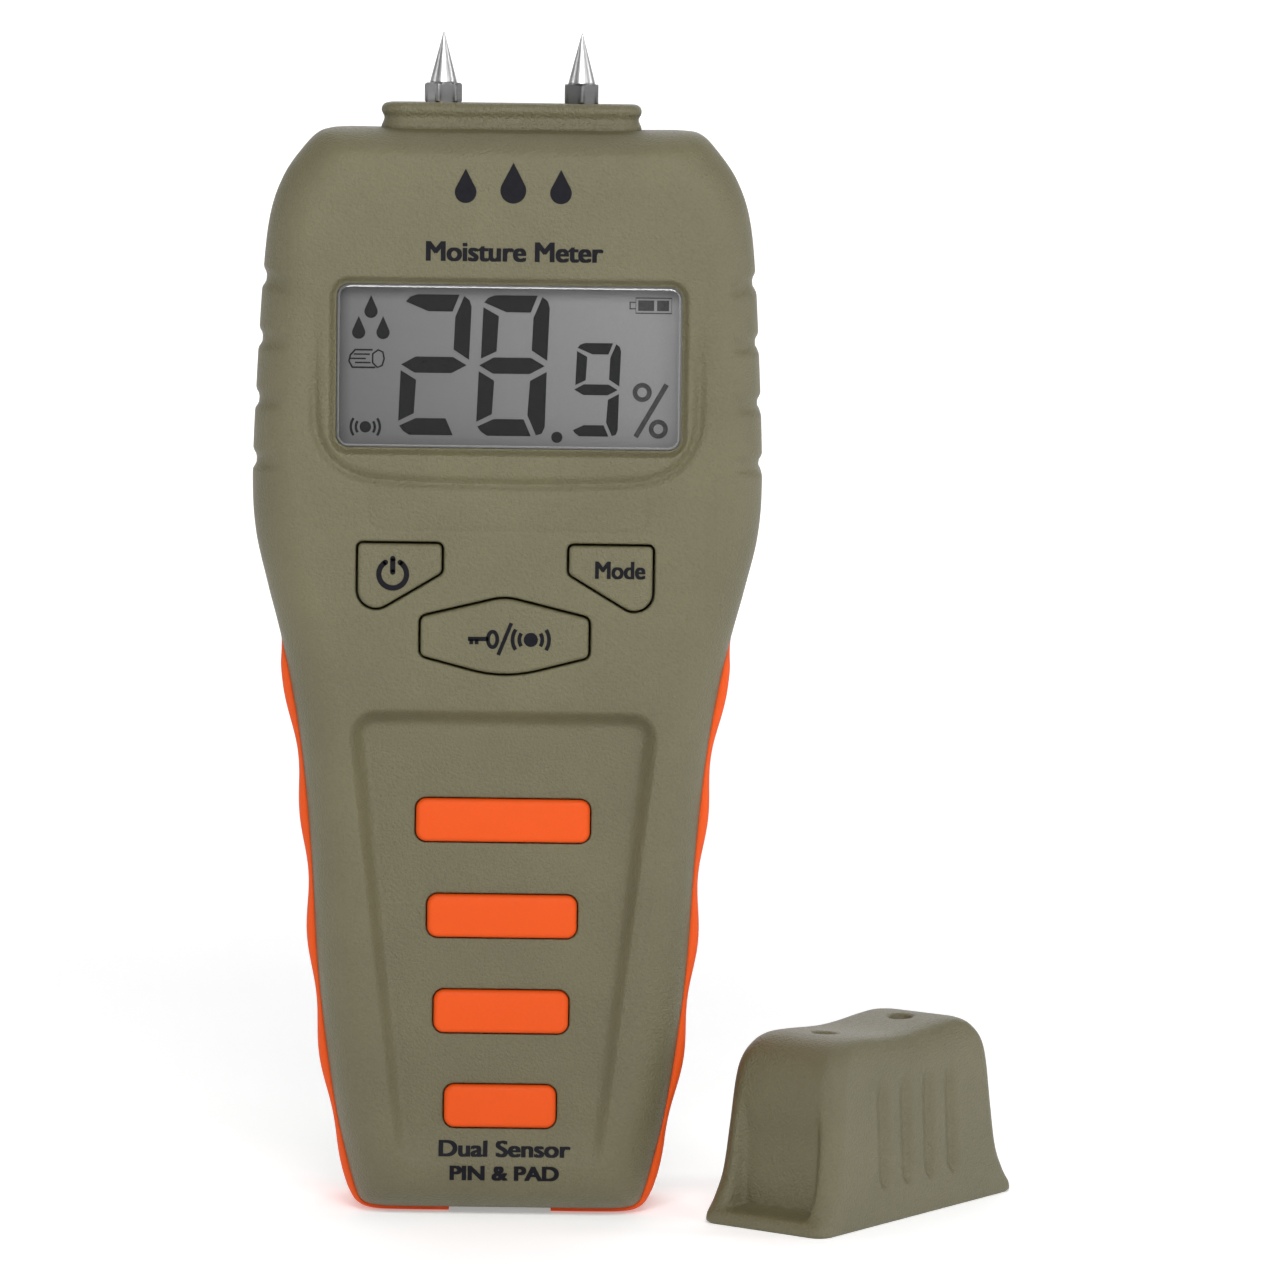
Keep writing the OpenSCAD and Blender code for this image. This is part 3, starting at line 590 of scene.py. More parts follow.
def grip(side):
    """A strip of rubber: rings from its front edge to its rear edge, each running up the case's side."""
    half = CASE_HALF[(CASE_HALF[:, 0] > GRIP_GAP) & (CASE_HALF[:, 1] < GRIP_TOP)]
    out = normals(half, False)
    t = grip_thickness(half[:, 1])
    middle, reach = (GRIP_FRONT + GRIP_BACK) / 2, (GRIP_BACK - GRIP_FRONT) / 2
    front = [(0.3 - reach, -0.9)]
    front += [(GRIP_EDGE * (1 - math.cos(a)) - reach, math.sin(a)) for a in np.linspace(0, math.pi / 2, 8)]
    flat = [(y, 1.0) for y in np.linspace(GRIP_EDGE - reach, reach - GRIP_EDGE, 9)[1:-1]]
    below = np.clip(GRIP_CORNER - (GRIP_TOP - half[:, 1]), 0, GRIP_CORNER)
    narrow = 1 - (GRIP_CORNER - np.sqrt(GRIP_CORNER ** 2 - below ** 2)) / reach
    rings = []
    for y, share in front + flat + [(-y, share) for y, share in front[::-1]]:
        d = t * share if share > 0 else np.full(len(t), share * 0.6)
        p = half + out * d[:, None]
        rings.append(at_y(p * np.array([side, 1]), middle + y * narrow))
    b = Build()
    ids = b.rings(rings, False)
    for k in (0, -1):
        b.f.append(tuple(ring[k] for ring in ids))
    if side > 0:
        b.f = [f[::-1] for f in b.f]
    return b.welded()


for side, name in ((-1, "left"), (1, "right")):
    piece(name + "_grip_rubber", *grip(side), ORANGE, "case", [name + "_grip"], "grip_rubber", 50)


# --- Collar and pins ---

def plan(w, d, r):
    return rect(w, d, r, step=0.35)


def level(loop, z):
    return np.stack([loop[:, 0], loop[:, 1], np.full(len(loop), z)], 1)


def circle(r, x=0.0, y=0.0, n=48):
    a = np.arange(n) * 2 * np.pi / n
    return np.stack([x + r * np.cos(a), y + r * np.sin(a)], 1)


# Half the pins' spacing, half a hexagon's width across its flats, and the collar's plan and top.
PIN_X = 10.3
HEX_HALF = 2.5
COLLAR = plan(38.5, 17.3, 4)
COLLAR_TOP = 166


def collar():
    profile = [(159, -0.1), (162.0, -0.1), (162.35, 0.05), (162.7, -0.02), (163.1, -0.22), (163.5, -0.36),
               (163.8, -0.38), (164.1, -0.28), (164.4, -0.1), (164.7, 0.02), (165.0, 0.05), (165.3, -0.02),
               (165.55, -0.16), (165.8, -0.42), (165.94, -0.75), (COLLAR_TOP, -1.2)]
    b = Build()
    b.rings([level(moved(COLLAR, d), z) for z, d in profile])
    top = moved(COLLAR, -1.2)
    holes = [circle(3.02, s * PIN_X) for s in (-1, 1)]
    v, f = triangulated(top, [(h, True) for h in holes], holes, 1.2)
    b.patch(level(v, COLLAR_TOP), f)
    for h in holes:
        b.rings([level(h, COLLAR_TOP), level(h, COLLAR_TOP - 3)])
    return b.welded()


piece("collar", *collar(), OLIVE, "case", ["pin_collar"], "case_plastic", 45)


def pin(x, turned):
    """Chamfered hexagon with a turned cone on it, from rows of (height, radius)."""
    n = 96
    a = np.arange(n) * 2 * np.pi / n
    across = HEX_HALF / np.cos((a - math.radians(turned)) % (math.pi / 3) - math.pi / 6)
    hexagon = [(157, 1.5), (165.9, 1.5), (166.0, 2.62), (166.2, 2.9), (168.55, 2.9), (168.75, 2.74),
               (168.9, 2.52)]
    cone = [(168.92, 2.1), (168.98, 2.03), (169.1, 1.98), (169.3, 1.95), (171, 1.5), (173, 0.97),
            (175, 0.44), (176.2, 0.13), (176.45, 0.05), (176.5, 0.015)]
    rings = [level(circle(np.minimum(across, r), x, 0.0, n), z) for z, r in hexagon]
    rings += [level(circle(r, x, 0.0, n), z) for z, r in cone]
    b = Build()
    ids = b.rings(rings)
    b.cap(ids[-1])
    return b.welded()


STEEL = material("pin_steel", (0.4, 0.385, 0.37), 0.36, 1.0)
turning = noise(STEEL, 900, 2, 0.5, (0.15, 0.15, 6))
shade(STEEL, "Roughness", mottled(STEEL, turning, 0.32, 0.42, 0.35, 0.65))
cone = spread(STEEL, place(STEEL)["Z"], 0.1688, 0.1692, 0.15, 0.48)
tint = combined(STEEL, cone, spread(STEEL, noise(STEEL, 250, 3), 0.3, 0.7, 0.88, 1.08))
shade(STEEL, "Base Color", tint)
bump(STEEL, turning, 0.002 * MM)
for x, turned, name in ((-PIN_X, 14, "left"), (PIN_X, 30, "right")):
    piece(name + "_pin_steel", *pin(x, turned), STEEL, "case", [name + "_pin"], "pin_steel", 24)


# --- Window and display ---

def clear(name, tint, gloss, haze=0.0):
    """Clear plastic: mostly see-through, with a faint, sharp reflection."""
    m = bpy.data.materials.new(name)
    m.use_nodes = True
    t, l = m.node_tree.nodes, m.node_tree.links
    t.remove(t["Principled BSDF"])
    seen, shine, mix = (t.new("ShaderNodeBsdfTransparent"), t.new("ShaderNodeBsdfGlossy"),
                        t.new("ShaderNodeMixShader"))
    seen.inputs["Color"].default_value = (*tint, 1)
    l.new(mottled(m, noise(m, 120, 3), 0.03, 0.09, 0.35), shine.inputs["Roughness"])
    shine.inputs["Color"].default_value = (gloss, gloss, gloss, 1)
    mix.inputs["Fac"].default_value = 0.15
    l.new(seen.outputs["BSDF"], mix.inputs[1])
    l.new(shine.outputs["BSDF"], mix.inputs[2])
    last = mix.outputs["Shader"]
    if haze:
        dull, more = t.new("ShaderNodeBsdfDiffuse"), t.new("ShaderNodeMixShader")
        dull.inputs["Color"].default_value = (0.9, 0.9, 0.9, 1)
        more.inputs["Fac"].default_value = haze
        l.new(last, more.inputs[1])
        l.new(dull.outputs["BSDF"], more.inputs[2])
        last = more.outputs["Shader"]
    l.new(last, t["Material Output"].inputs["Surface"])
    return m


def plate(loop, y0, y1):
    b = Build()
    ids = b.rings([at_y(loop, y) for y in (y0, y1)])
    b.cap(ids[0], True)
    b.cap(ids[1])
    return b.v, [f[::-1] for f in b.f]


WINDOW = clear("window_plastic", (0.98, 0.98, 0.98), 0.09)
WINDOW_FRONT, WINDOW_BACK = -13.95, -12.75
LENS_FACE = moved(LENS, -0.5)
piece("window", *plate(LENS_FACE, WINDOW_FRONT, WINDOW_BACK), WINDOW, "case", ["window_lens"], "clear_window")
b = Build()
b.rings([at_y(moved(LENS, -inset), y) for inset, y in (
    (0.08, WINDOW_BACK), (0.08, -13.65), (0.17, -13.82), (0.33, -13.92), (0.5, WINDOW_FRONT))])
piece("window_edge", b.v, b.f, clear("window_edge_plastic", (0.62, 0.62, 0.62), 0.4, 0.1), "case", (),
      "clear_window", 60)

LCD_Y, LCD_BACK = -11.6, -9.25
LCD = material("lcd_film", (0.3, 0.3, 0.3), 0.35)
# The film's colour carries painted shade, darker to the left and lower down, and painted shadow of the
# window's rim in bands under its left and upper edges; it also has a fine grain.
xyz = place(LCD)
# Painted shade across the film, and a painted shadow band under the window's left edge.
painted_shade_across = combined(LCD, spread(LCD, xyz["X"], -0.023, 0.022, 0.62, 1.0),
                    spread(LCD, xyz["X"], -0.0252, -0.0232, 0.45, 1.0))
# Painted shade down the film, and a painted shadow band under the window's upper edge.
painted_shade_down = combined(LCD, spread(LCD, xyz["Z"], 0.1155, 0.136, 0.9, 1.04),
                   spread(LCD, xyz["Z"], 0.1385, 0.1368, 0.7, 1.0))
speckle = spread(LCD, noise(LCD, 9000, 3, 0.7), 0.3, 0.7, 0.9, 1.1)
# The film's grey and grain times the painted shade and shadow.
film_tone_with_painted_shade = combined(LCD, combined(LCD, painted_shade_across, painted_shade_down), combined(LCD, speckle, 0.345))
shade(LCD, "Base Color", film_tone_with_painted_shade)
piece("lcd_screen", *plate(rect(51.4, 27, 0.4, 0, LENS_Z - 0.5), LCD_Y, LCD_BACK), LCD, "case",
      ["lcd_glass"], "lcd_glass")

# Segments of one digit, in mm from its lower left corner. The digits lean a little.
SEGMENTS = {
    "a": [(1.0, 19.7), (1.6, 20.4), (2.7, 20.8), (8.9, 20.8), (7.9, 18.3), (4.3, 18.3)],
    "b": [(9.6, 20.6), (10.4, 20), (10.7, 19), (10.4, 11.2), (8.1, 12.7), (8.3, 17.5)],
    "c": [(10.35, 9.55), (10.15, 1.4), (9.7, 0.4), (8.85, 0.15), (7.55, 3.1), (7.9, 8.2)],
    "d": [(0.15, 1.35), (2.6, 2.5), (7, 2.5), (8.1, 0), (1.6, 0), (0.7, 0.6)],
    "e": [(0.3, 9.55), (2.6, 8.15), (2.3, 3.2), (0, 2.05)],
    "f": [(0.9, 19), (3.2, 17.7), (2.9, 12.5), (0.6, 11.4)],
    "g": [(0.35, 10.4), (2.5, 11.6), (8, 11.6), (10.05, 10.4), (7.8, 9.2), (2.4, 9.2)]}


class Ink:
    """Flat printed shapes in (x, z), gathered into one mesh that lies on a surface."""

    def __init__(self):
        self.v, self.f = [], []

    def shape(self, points, faces=None, lift=0.05):
        points = np.asarray(points, float)
        start = len(self.v)
        self.v += [(x, z, lift) for x, z in points]
        self.f += [tuple(start + i for i in f) for f in (faces or [tuple(range(len(points)))])]

    def dot(self, x, z, r, n=40):
        self.shape(circle(r, x, z, n))

    def line(self, points, width, closed=False, ends=False):
        p = np.asarray(points, float)
        if closed:
            n = normals(p)
        else:
            t = p[1:] - p[:-1]
            t /= np.linalg.norm(t, axis=1)[:, None]
            m = np.vstack([t[:1], t[1:] + t[:-1], t[-1:]])
            m /= np.linalg.norm(m, axis=1)[:, None]
            n = np.stack([m[:, 1], -m[:, 0]], 1)
            n[1:-1] /= np.sum(m[1:-1] * t[1:], axis=1)[:, None]
        k = len(p)
        faces = [(i, (i + 1) % k, (i + 1) % k + k, i + k) for i in range(k if closed else k - 1)]
        self.shape(np.vstack([p + n * width / 2, p - n * width / 2]), faces)
        if ends:
            for q in (p[0], p[-1]):
                self.dot(q[0], q[1], width / 2, 20)

    def arc(self, x, z, r, start, stop, width, ends=False, squash=1.0):
        a = np.radians(np.linspace(start, stop, max(8, int(abs(stop - start) / 6))))
        self.line(np.stack([x + r * squash * np.cos(a), z + r * np.sin(a)], 1), width, ends=ends)

    def drop(self, x, z, r, h):
        """A drop with its tip h above its lowest point."""
        c = z - h + r
        reach = math.acos(r / (z - c))
        a = np.linspace(math.pi / 2 + reach, 2.5 * math.pi - reach, 32)
        side = np.stack([x + r * np.cos(a), c + r * np.sin(a)], 1)
        self.shape(np.vstack([side, [[x, z]]]))

    def digit(self, segments, x, z, scale=1.0):
        for s in segments:
            self.shape(np.array(SEGMENTS[s]) * scale + (x, z))

    def words(self, text, x0, x1, z0, z1, bold=0.0, lift=0.03):
        """Plain lettering that fills the box, laid down several times a little apart to make it bold."""
        curve = bpy.data.curves.new("words", "FONT")
        curve.body = text
        obj = bpy.data.objects.new("words", curve)
        mesh = obj.to_mesh()
        p = np.array([v.co[:2] for v in mesh.vertices])
        lo, hi = p.min(0), p.max(0)
        p = (p - lo) / (hi - lo) * (x1 - x0, z1 - z0) + (x0, z0)
        faces = [tuple(f.vertices) for f in mesh.polygons]
        for k, (dx, dz) in enumerate(((0, 0), (-1, 0.4), (1, -0.4), (-1, -0.4), (1, 0.4))):
            self.shape(p + (dx * bold, dz * bold), faces, lift + 0.004 * k)
        obj.to_mesh_clear()
        bpy.data.objects.remove(obj)

    def finish(self, name, surface, m, body, slot):
        v = np.array(self.v)
        y = (surface(v[:, :2]) if callable(surface) else np.full(len(v), surface)) - v[:, 2]
        faces = []
        for f in self.f:
            x, z = v[list(f), 0], v[list(f), 1]
            turn = np.sum(x * np.roll(z, -1) - np.roll(x, -1) * z)
            faces.append(f if turn > 0 else f[::-1])
        return piece(name, at_y(v, y), faces, m, body, (), slot)


def printed(name, colour, rough):
    m = material(name, colour, rough, Specular_IOR_Level=0.12)
    shade(m, "Base Color", mottled(m, noise(m, 1500, 3), 0.8, 1.25, colour=colour))
    return m


def four_corners(x0, x1, z0, z1):
    return [(x0, z0), (x1, z0), (x1, z1), (x0, z1)]


LCD_INK = printed("lcd_segments", (0.009, 0.009, 0.01), 0.5)
LCD_FAINT = printed("lcd_icons", (0.06, 0.06, 0.062), 0.5)
Z = LENS_Z
# Dark: the figures, the three drops, the sound waves and the piece of wood.
lcd = Ink()
lcd.digit("abged", -16.15, Z - 10.3)
lcd.digit("abcdefg", -4.6, Z - 10.3)
lcd.digit("abcdfg", 9.6, Z - 10.2, 0.664)
lcd.dot(7.35, Z - 10.4, 0.83)
for x, z in ((-20.3, 10.3), (-22.1, 7.2), (-18.5, 7.2)):
    lcd.drop(x, Z + z, 0.98, 3.4)
lcd.dot(-21, Z - 9.2, 0.85)
for r in (1.4, 2.15):
    lcd.arc(-21, Z - 9.2, r, -36, 36, 0.38)
    lcd.arc(-21, Z - 9.2, r, 144, 216, 0.38)

# Paler: the per cent sign and the battery.
faint = Ink()
for x, z in ((19.9, -3.6), (22.35, -9)):
    faint.line(circle(1.07, x, Z + z, 36), 0.7, True)
faint.line([(19, Z - 10.2), (23.5, Z - 2.4)], 0.75)
faint.line(four_corners(18.8, 24.1, Z + 8.1, Z + 10.35), 0.17, True)
faint.line([(18.8, Z + 8.75), (17.95, Z + 8.75), (17.95, Z + 9.7), (18.8, Z + 9.7)], 0.17)
for x0, x1 in ((19.15, 21.5), (21.95, 23.7)):
    faint.shape(four_corners(x0, x1, Z + 8.45, Z + 10))
log_side = [(-20, 2.2), (-22.6, 2.2), (-23.3, 1.4), (-23.5, 0.5), (-23, -0.4), (-19.6, -0.4)]
lcd.line([(x, Z + z) for x, z in log_side], 0.25)
log_end = [(-20, 1.6), (-19.2, 2.2), (-18.5, 1.9), (-18.3, 0.9), (-18.6, -0.1), (-19.3, -0.4), (-20, 0.3)]
lcd.line([(x, Z + z) for x, z in log_end], 0.25, True)
for x0, x1, z in ((-22.8, -20.4, 1.55), (-23.4, -21, 0.9), (-22.6, -20.3, 0.3)):
    lcd.line([(x0, Z + z), (x1, Z + z)], 0.22)
lcd.finish("lcd_digits", LCD_Y, LCD_INK, "case", "lcd_glass")
faint.finish("lcd_symbols", LCD_Y, LCD_FAINT, "case", "lcd_glass")


# --- Printing ---

INK = printed("black_ink", (0.005, 0.005, 0.008), 0.55)


def front_surface(v):
    """Just in front of the case's front, also where it rounds off below the flat face."""
    y = front_depth(v) - FACE_Y
    f = np.clip((v[:, 1] - BASE_Z) / (FACE_LOW_Z - BASE_Z), 0, 1)
    low = FILLET * (1 - np.sqrt(1 - (1 - f) ** 2)) - FACE_Y
    return np.where(v[:, 1] < FACE_LOW_Z, np.maximum(y, low), y)


head = Ink()
for k, size in enumerate((0.84, 1.0, 0.84)):
    head.drop(-6.4 + 7 * k, 151.4 + 6 * size, 1.9 * size, 6 * size)
head.words("Moisture Meter", -12, 13.8, 142.9, 145.7, 0.16)
head.words("Dual Sensor", -8.9, 10.5, 9.5, 11.8, 0.16)
head.words("PIN & PAD", -7.2, 8.8, 6, 8.1, 0.16, 0.1)
head.finish("case_printing", front_surface, INK, "case", "black_plastic")

# The symbols lie just in front of the keys' crowned tops.
KEY_TOP = -FACE_Y - KEY_PROUD - KEY_CROWN - 0.005
ink = Ink()
ink.arc(-16.6, 96.6, 2.05, 122, 418, 0.78, True)
ink.line([(-16.6, 96.9), (-16.6, 98.9)], 0.78, ends=True)
ink.finish("power_key_symbol", KEY_TOP, INK, "power_button", "black_plastic")
ink = Ink()
ink.words("Mode", 13.4, 20.6, 96.3, 98.8, 0.12)
ink.finish("mode_key_word", KEY_TOP, INK, "mode_button", "black_plastic")
ink = Ink()
ink.arc(-1.75, 87.1, 1.15, 0, 360, 0.56, squash=0.6)
ink.line([(-5.4, 87.15), (-2.4, 87.15)], 0.62)
for x in (-4.9, -4.1):
    ink.line([(x, 87.1), (x, 86.35)], 0.56)
ink.line([(-0.9, 84.8), (1.0, 89.55)], 0.56)
ink.dot(3.9, 87.1, 1.05)
for r in (1.7, 2.7):
    ink.arc(3.9, 87.1, r, -34, 34, 0.56)
    ink.arc(3.9, 87.1, r, 146, 214, 0.56)
ink.finish("hold_key_symbol", KEY_TOP, INK, "hold_button", "black_plastic")


# --- Back ---

# Screw places, the opening for the door, the battery's bay, the depths of the ledge under the door and of the
# bay's floor, and the raised pad over the sensor plate.
SCREWS = [(-28, 146), (28, 146), (-20.5, 68), (20.5, 68)]
DOOR_GAP = rect(32.4, 56.6, 0.4, 0, 35.1, 0.7)
BAY = rect(28, 57, 0.8, 0, 35.5, 0.7)
LEDGE_Y, BAY_Y = 12.8, -5.0
SENSOR_PAD = rect(42, 38, 4, 0, 131, 0.5)
SENSOR_PROUD = 0.8


def back_y(p):
    """Where the back's skin lies, from the case's edge over the rounding to the flat back."""
    to_case = np.abs(distance(p, CASE_LOOP, reach=12))
    to_face = distance(p, FACE_LOOP, reach=12)
    f = np.where(to_face <= 0, 1.0, to_case / (to_case + np.maximum(to_face, 1e-9)))
    y = FACE_Y - FILLET * (1 - np.sqrt(1 - (1 - f) ** 2))
    return y + SENSOR_PROUD * smooth((0.5 - distance(p, SENSOR_PAD)) / 0.8)


def on_back(p):
    """The back's skin over points in (x, z), with the side notches pressed in."""
    y = back_y(p)
    dent = notch(p, np.abs(distance(p, CASE_LOOP)))
    across = np.clip((y - (FACE_Y - FILLET)) / FILLET, 0, 1)
    x = p[:, 0] - np.sign(p[:, 0]) * dent * np.sqrt(1 - across ** 2)
    return np.stack([x, y - dent * across, p[:, 1]], 1)


def back_case():
    b = Build()
    cut = notch(CASE_LOOP, np.zeros(len(CASE_LOOP)))
    dented = CASE_LOOP - np.stack([np.sign(CASE_LOOP[:, 0]) * cut, 0 * cut], 1)
    rings = [at_y(dented - normals(CASE_LOOP) * PARTING, 0.0)]
    rings += [at_y(dented, y) for y in np.linspace(0.22, FACE_Y - FILLET, 6)]

    def inwards(f):
        return CASE_LOOP + (FACE_LOOP - CASE_LOOP) * f

    shares = [0.003, 0.012, 0.03, 0.055, 0.09, 0.13, 0.18, 0.24, 0.31, 0.39, 0.48, 0.58]
    rings += [on_back(inwards(f)) for f in shares]
    b.rings([ring[::-1] for ring in rings])
    loops = [resample(inwards(f), 0.9, True) for f in (0.66, 0.78, 0.9, 1.0)]
    screws = [circle(2.9, x, z, 40) for x, z in SCREWS]
    slots = [rect(7, 1.2, 0.5, 20, 100 + 3 * k, 0.2) for k in (-1, 0, 1)]
    holes = [DOOR_GAP] + screws + slots
    chains = [(loop, True) for loop in loops + holes]
    chains += [(moved(SENSOR_PAD, d), True) for d in (0.5, 0.3, 0.1, -0.1, -0.3)]
    v, f = triangulated(inwards(shares[-1]), chains, holes, 1.6)
    b.patch(on_back(v), f)
    for hole in holes:
        top = back_y(hole)
        b.rings([at_y(hole, y)[::-1] for y in (top, np.minimum(top, LEDGE_Y))])
    v, f = triangulated(DOOR_GAP, [(BAY, True)], [BAY], 3)
    b.patch(at_y(v, np.minimum(back_y(v), LEDGE_Y)), f)
    ids = b.rings([at_y(BAY, y)[::-1] for y in (LEDGE_Y, -4.2, BAY_Y)])
    b.cap(ids[-1], True)
    return b.welded()


piece("back_case", *back_case(), OLIVE, "case", ["rear_shell"], "case_plastic", 38)


# --- Cap ---

CAP_X, CAP_YAW, CAP_H = 54.5, math.radians(54), 28.0
# Heights of the step and the roof inside, radius and rim of the two holes, places of the flutes along each
# side, and the outside as rows of [z, half length, half depth, corner radius].
CAP_STEP, CAP_ROOF = 17.0, 26.4
HOLE_R, HOLE_RIM = 1.6, 0.9
FLUTES = [-9.2, -3.07, 3.07, 9.2]
CAP_RINGS = np.array([
    [0, 26.2, 11.1, 2.2], [1.4, 26, 11.05, 2.2], [3.6, 24.5, 10.9, 2.4], [7.5, 22.9, 10.6, 2.6],
    [14, 22.1, 10.2, 2.8], [21, 21.4, 9.8, 3], [24.4, 20.4, 9.4, 3], [26.6, 18.6, 8.6, 3],
    [27.65, 16.6, 7.6, 2.8], [28, 14.4, 6.2, 2.4]])


def cap_loop(a, b, r):
    """A rounded rectangle with a fixed count of points on each side and corner."""
    arcs = [arc_points(sx * (a - r), sy * (b - r), r, 90 * q, 90 * q + 90, 11)
            for q, (sx, sy) in enumerate(((1, 1), (-1, 1), (-1, -1), (1, -1)))]
    out = []
    for arc, after, count in zip(arcs, arcs[1:] + arcs[:1], (120, 44, 120, 44)):
        out += [arc, arc[-1] + (after[0] - arc[-1]) * np.linspace(0, 1, count)[1:-1, None]]
    return np.vstack(out)


def without_repeats(loop):
    return loop[np.concatenate([[True], np.linalg.norm(np.diff(loop, axis=0), axis=1) > 1e-6])]


def in_cap(p, z):
    """Points given along and across the cap, at height z, put where the cap stands."""
    u, v = p[:, 0], p[:, 1]
    x = CAP_X + u * math.cos(CAP_YAW) - v * math.sin(CAP_YAW)
    return np.stack([x, u * math.sin(CAP_YAW) + v * math.cos(CAP_YAW), np.broadcast_to(z, u.shape)], 1)


def saddle(u, z):
    """How far the cap's top dips between its two ends."""
    return 0.7 * np.cos(np.clip(np.abs(u) / 14, 0, 1) * math.pi / 2) ** 2 * smooth((z - 19) / 8)


def cap_outside():
    """Rings up the outside, with a hollow in each end and four flutes, nicked at the foot, in each side."""
    rows = spline(CAP_RINGS, 9)
    rows[:, 0] = np.clip(rows[:, 0], 0, CAP_H)
    rings = []
    for z, a, b, r in rows:
        p = cap_loop(a, b, r)
        u, v = p[:, 0].copy(), p[:, 1].copy()
        pocket = smooth((7.9 - np.abs(v)) / 1.7) * smooth((z - 2.0) / 0.9) * smooth((19.5 - z) / 7)
        floor = 20.7 + 0.05 * (17 - z)
        at_end = np.abs(u) > floor
        u = np.where(at_end, np.sign(u) * (floor + (np.abs(u) - floor) * (1 - pocket)), u)
        for c in FLUTES:
            flute = np.exp(-((u - c) / 1.15) ** 2) * smooth((z - 5.4) / 1.5) * smooth((23.5 - z) / 6)
            nick = np.exp(-((u - c) / 0.6) ** 2 - ((z - 5.9) / 0.6) ** 2)
            along = np.abs(v) > b - 0.01
            v = np.where(along, v - np.sign(v) * (0.7 * flute + 0.5 * nick), v)
        foot = 0.35 * (1 - smooth(z / 0.4)) if z < 0.4 else 0
        u, v = u - np.sign(u) * foot, v - np.sign(v) * foot
        rings.append(in_cap(np.stack([u, v], 1), z - saddle(u, z)))
    return rings


def cap():
    b = Build()
    b.rings(cap_outside())
    top = cap_loop(*CAP_RINGS[-1, 1:])
    holes = [circle(HOLE_R, x) for x in (-PIN_X, PIN_X)]
    chains = [(circle(HOLE_R + d, x), True) for x in (-PIN_X, PIN_X) for d in (0, 0.15, 0.3, 0.5, 0.7, 0.9)]
    v, f = triangulated(without_repeats(top), chains, holes, 0.8)
    z = CAP_H - saddle(v[:, 0], CAP_H)
    for x in (-PIN_X, PIN_X):
        z = z - rim(np.hypot(v[:, 0] - x, v[:, 1]) - HOLE_R, HOLE_RIM)
    b.patch(in_cap(v, z), f)
    for hole in holes:
        b.rings([in_cap(hole, CAP_H - saddle(hole[:, 0], CAP_H) - HOLE_RIM), in_cap(hole, CAP_ROOF)])
    bore, inner = plan(39, 17.8, 4.2), plan(34, 13.8, 3)
    foot = without_repeats(cap_loop(25.85, 10.75, 2.2))
    for outer, openings, height in ((foot, [bore], 0.0), (bore, [inner], CAP_STEP), (inner, holes, CAP_ROOF)):
        v, f = triangulated(outer, [(h, True) for h in openings], openings, 1.5)
        b.patch(in_cap(v, height), f, True)
    b.rings([in_cap(bore, 0.0), in_cap(bore, CAP_STEP)])
    b.rings([in_cap(inner, CAP_STEP), in_cap(inner, CAP_ROOF)])
    return b.welded()


piece("pin_cap", *cap(), OLIVE, "cap", ["cap_shell"], "case_plastic", 50)


# --- Materials of the CAD pieces that stay ---

BLACK = moulded("black_plastic", (0.022, 0.022, 0.025), 0.45, 0.4, 0.01, 0.15)
WHITE = moulded("milky_plastic", (0.8, 0.8, 0.77), 0.35, 0.5, 0.005, 0.03)
RUBBER = moulded("grey_rubber", (0.06, 0.06, 0.062), 0.65, 0.3, 0.015, 0.1)
STRIP = moulded("strip_rubber", (0.5, 0.17, 0.2), 0.6, 0.3, 0.01, 0.1)
CHIP = moulded("chip_plastic", (0.016, 0.016, 0.018), 0.4, 0.25, 0.008, 0.2)


def metal(name, dark, light, rough):
    m = material(name, light, rough, 1.0)
    shade(m, "Base Color", ramp(m, noise(m, 300, 3, 0.6), [(0.3, dark), (0.7, light)]))
    shade(m, "Roughness", mottled(m, noise(m, 900, 2), rough * 0.8, rough * 1.3))
    return m


BRASS = metal("brass", (0.62, 0.43, 0.16), (0.8, 0.6, 0.27), 0.28)
COPPER = metal("copper_foil", (0.7, 0.33, 0.18), (0.87, 0.47, 0.3), 0.33)
SCREW = metal("screw_steel", (0.25, 0.25, 0.26), (0.42, 0.42, 0.42), 0.38)


def board_material():
    """Green solder mask with paler copper tracks under it."""
    m = material("solder_mask", (0.01, 0.12, 0.035), 0.28)
    t, l = m.node_tree.nodes, m.node_tree.links
    co, brick = t.new("ShaderNodeTexCoord"), t.new("ShaderNodeTexBrick")
    turn = t.new("ShaderNodeMapping")
    turn.inputs["Rotation"].default_value = (math.pi / 2, 0, 0)
    l.new(co.outputs["Object"], turn.inputs["Vector"])
    l.new(turn.outputs["Vector"], brick.inputs["Vector"])
    for key, value in (("Scale", 260.0), ("Mortar Size", 0.03), ("Brick Width", 1.6), ("Row Height", 0.34)):
        brick.inputs[key].default_value = value
    brick.inputs["Color1"].default_value = (0.008, 0.1, 0.03, 1)
    brick.inputs["Color2"].default_value = (0.011, 0.125, 0.04, 1)
    brick.inputs["Mortar"].default_value = (0.05, 0.26, 0.09, 1)
    shade(m, "Base Color", brick.outputs["Color"])
    bump(m, noise(m, 800, 2), 0.01 * MM)
    return m


def split_by(name, axis, at, first, second, rough):
    """One colour below a place along an axis and another above it, each a little mottled."""
    m = material(name, first, rough)
    t, l = m.node_tree.nodes, m.node_tree.links
    step = spread(m, place(m)[axis], at - 0.02 * MM, at + 0.02 * MM, 0, 1)
    mix = t.new("ShaderNodeMix")
    mix.data_type = "RGBA"
    l.new(step, mix.inputs["Factor"])
    for key, colour in (("A", first), ("B", second)):
        socket = [s for s in mix.inputs if s.name == key and s.type == "RGBA"][0]
        l.new(mottled(m, noise(m, 700, 3), 0.85, 1.12, colour=colour), socket)
    out = [s for s in mix.outputs if s.type == "RGBA"][0]
    shade(m, "Base Color", out)
    bump(m, noise(m, 2500, 2), 0.008 * MM)
    return m


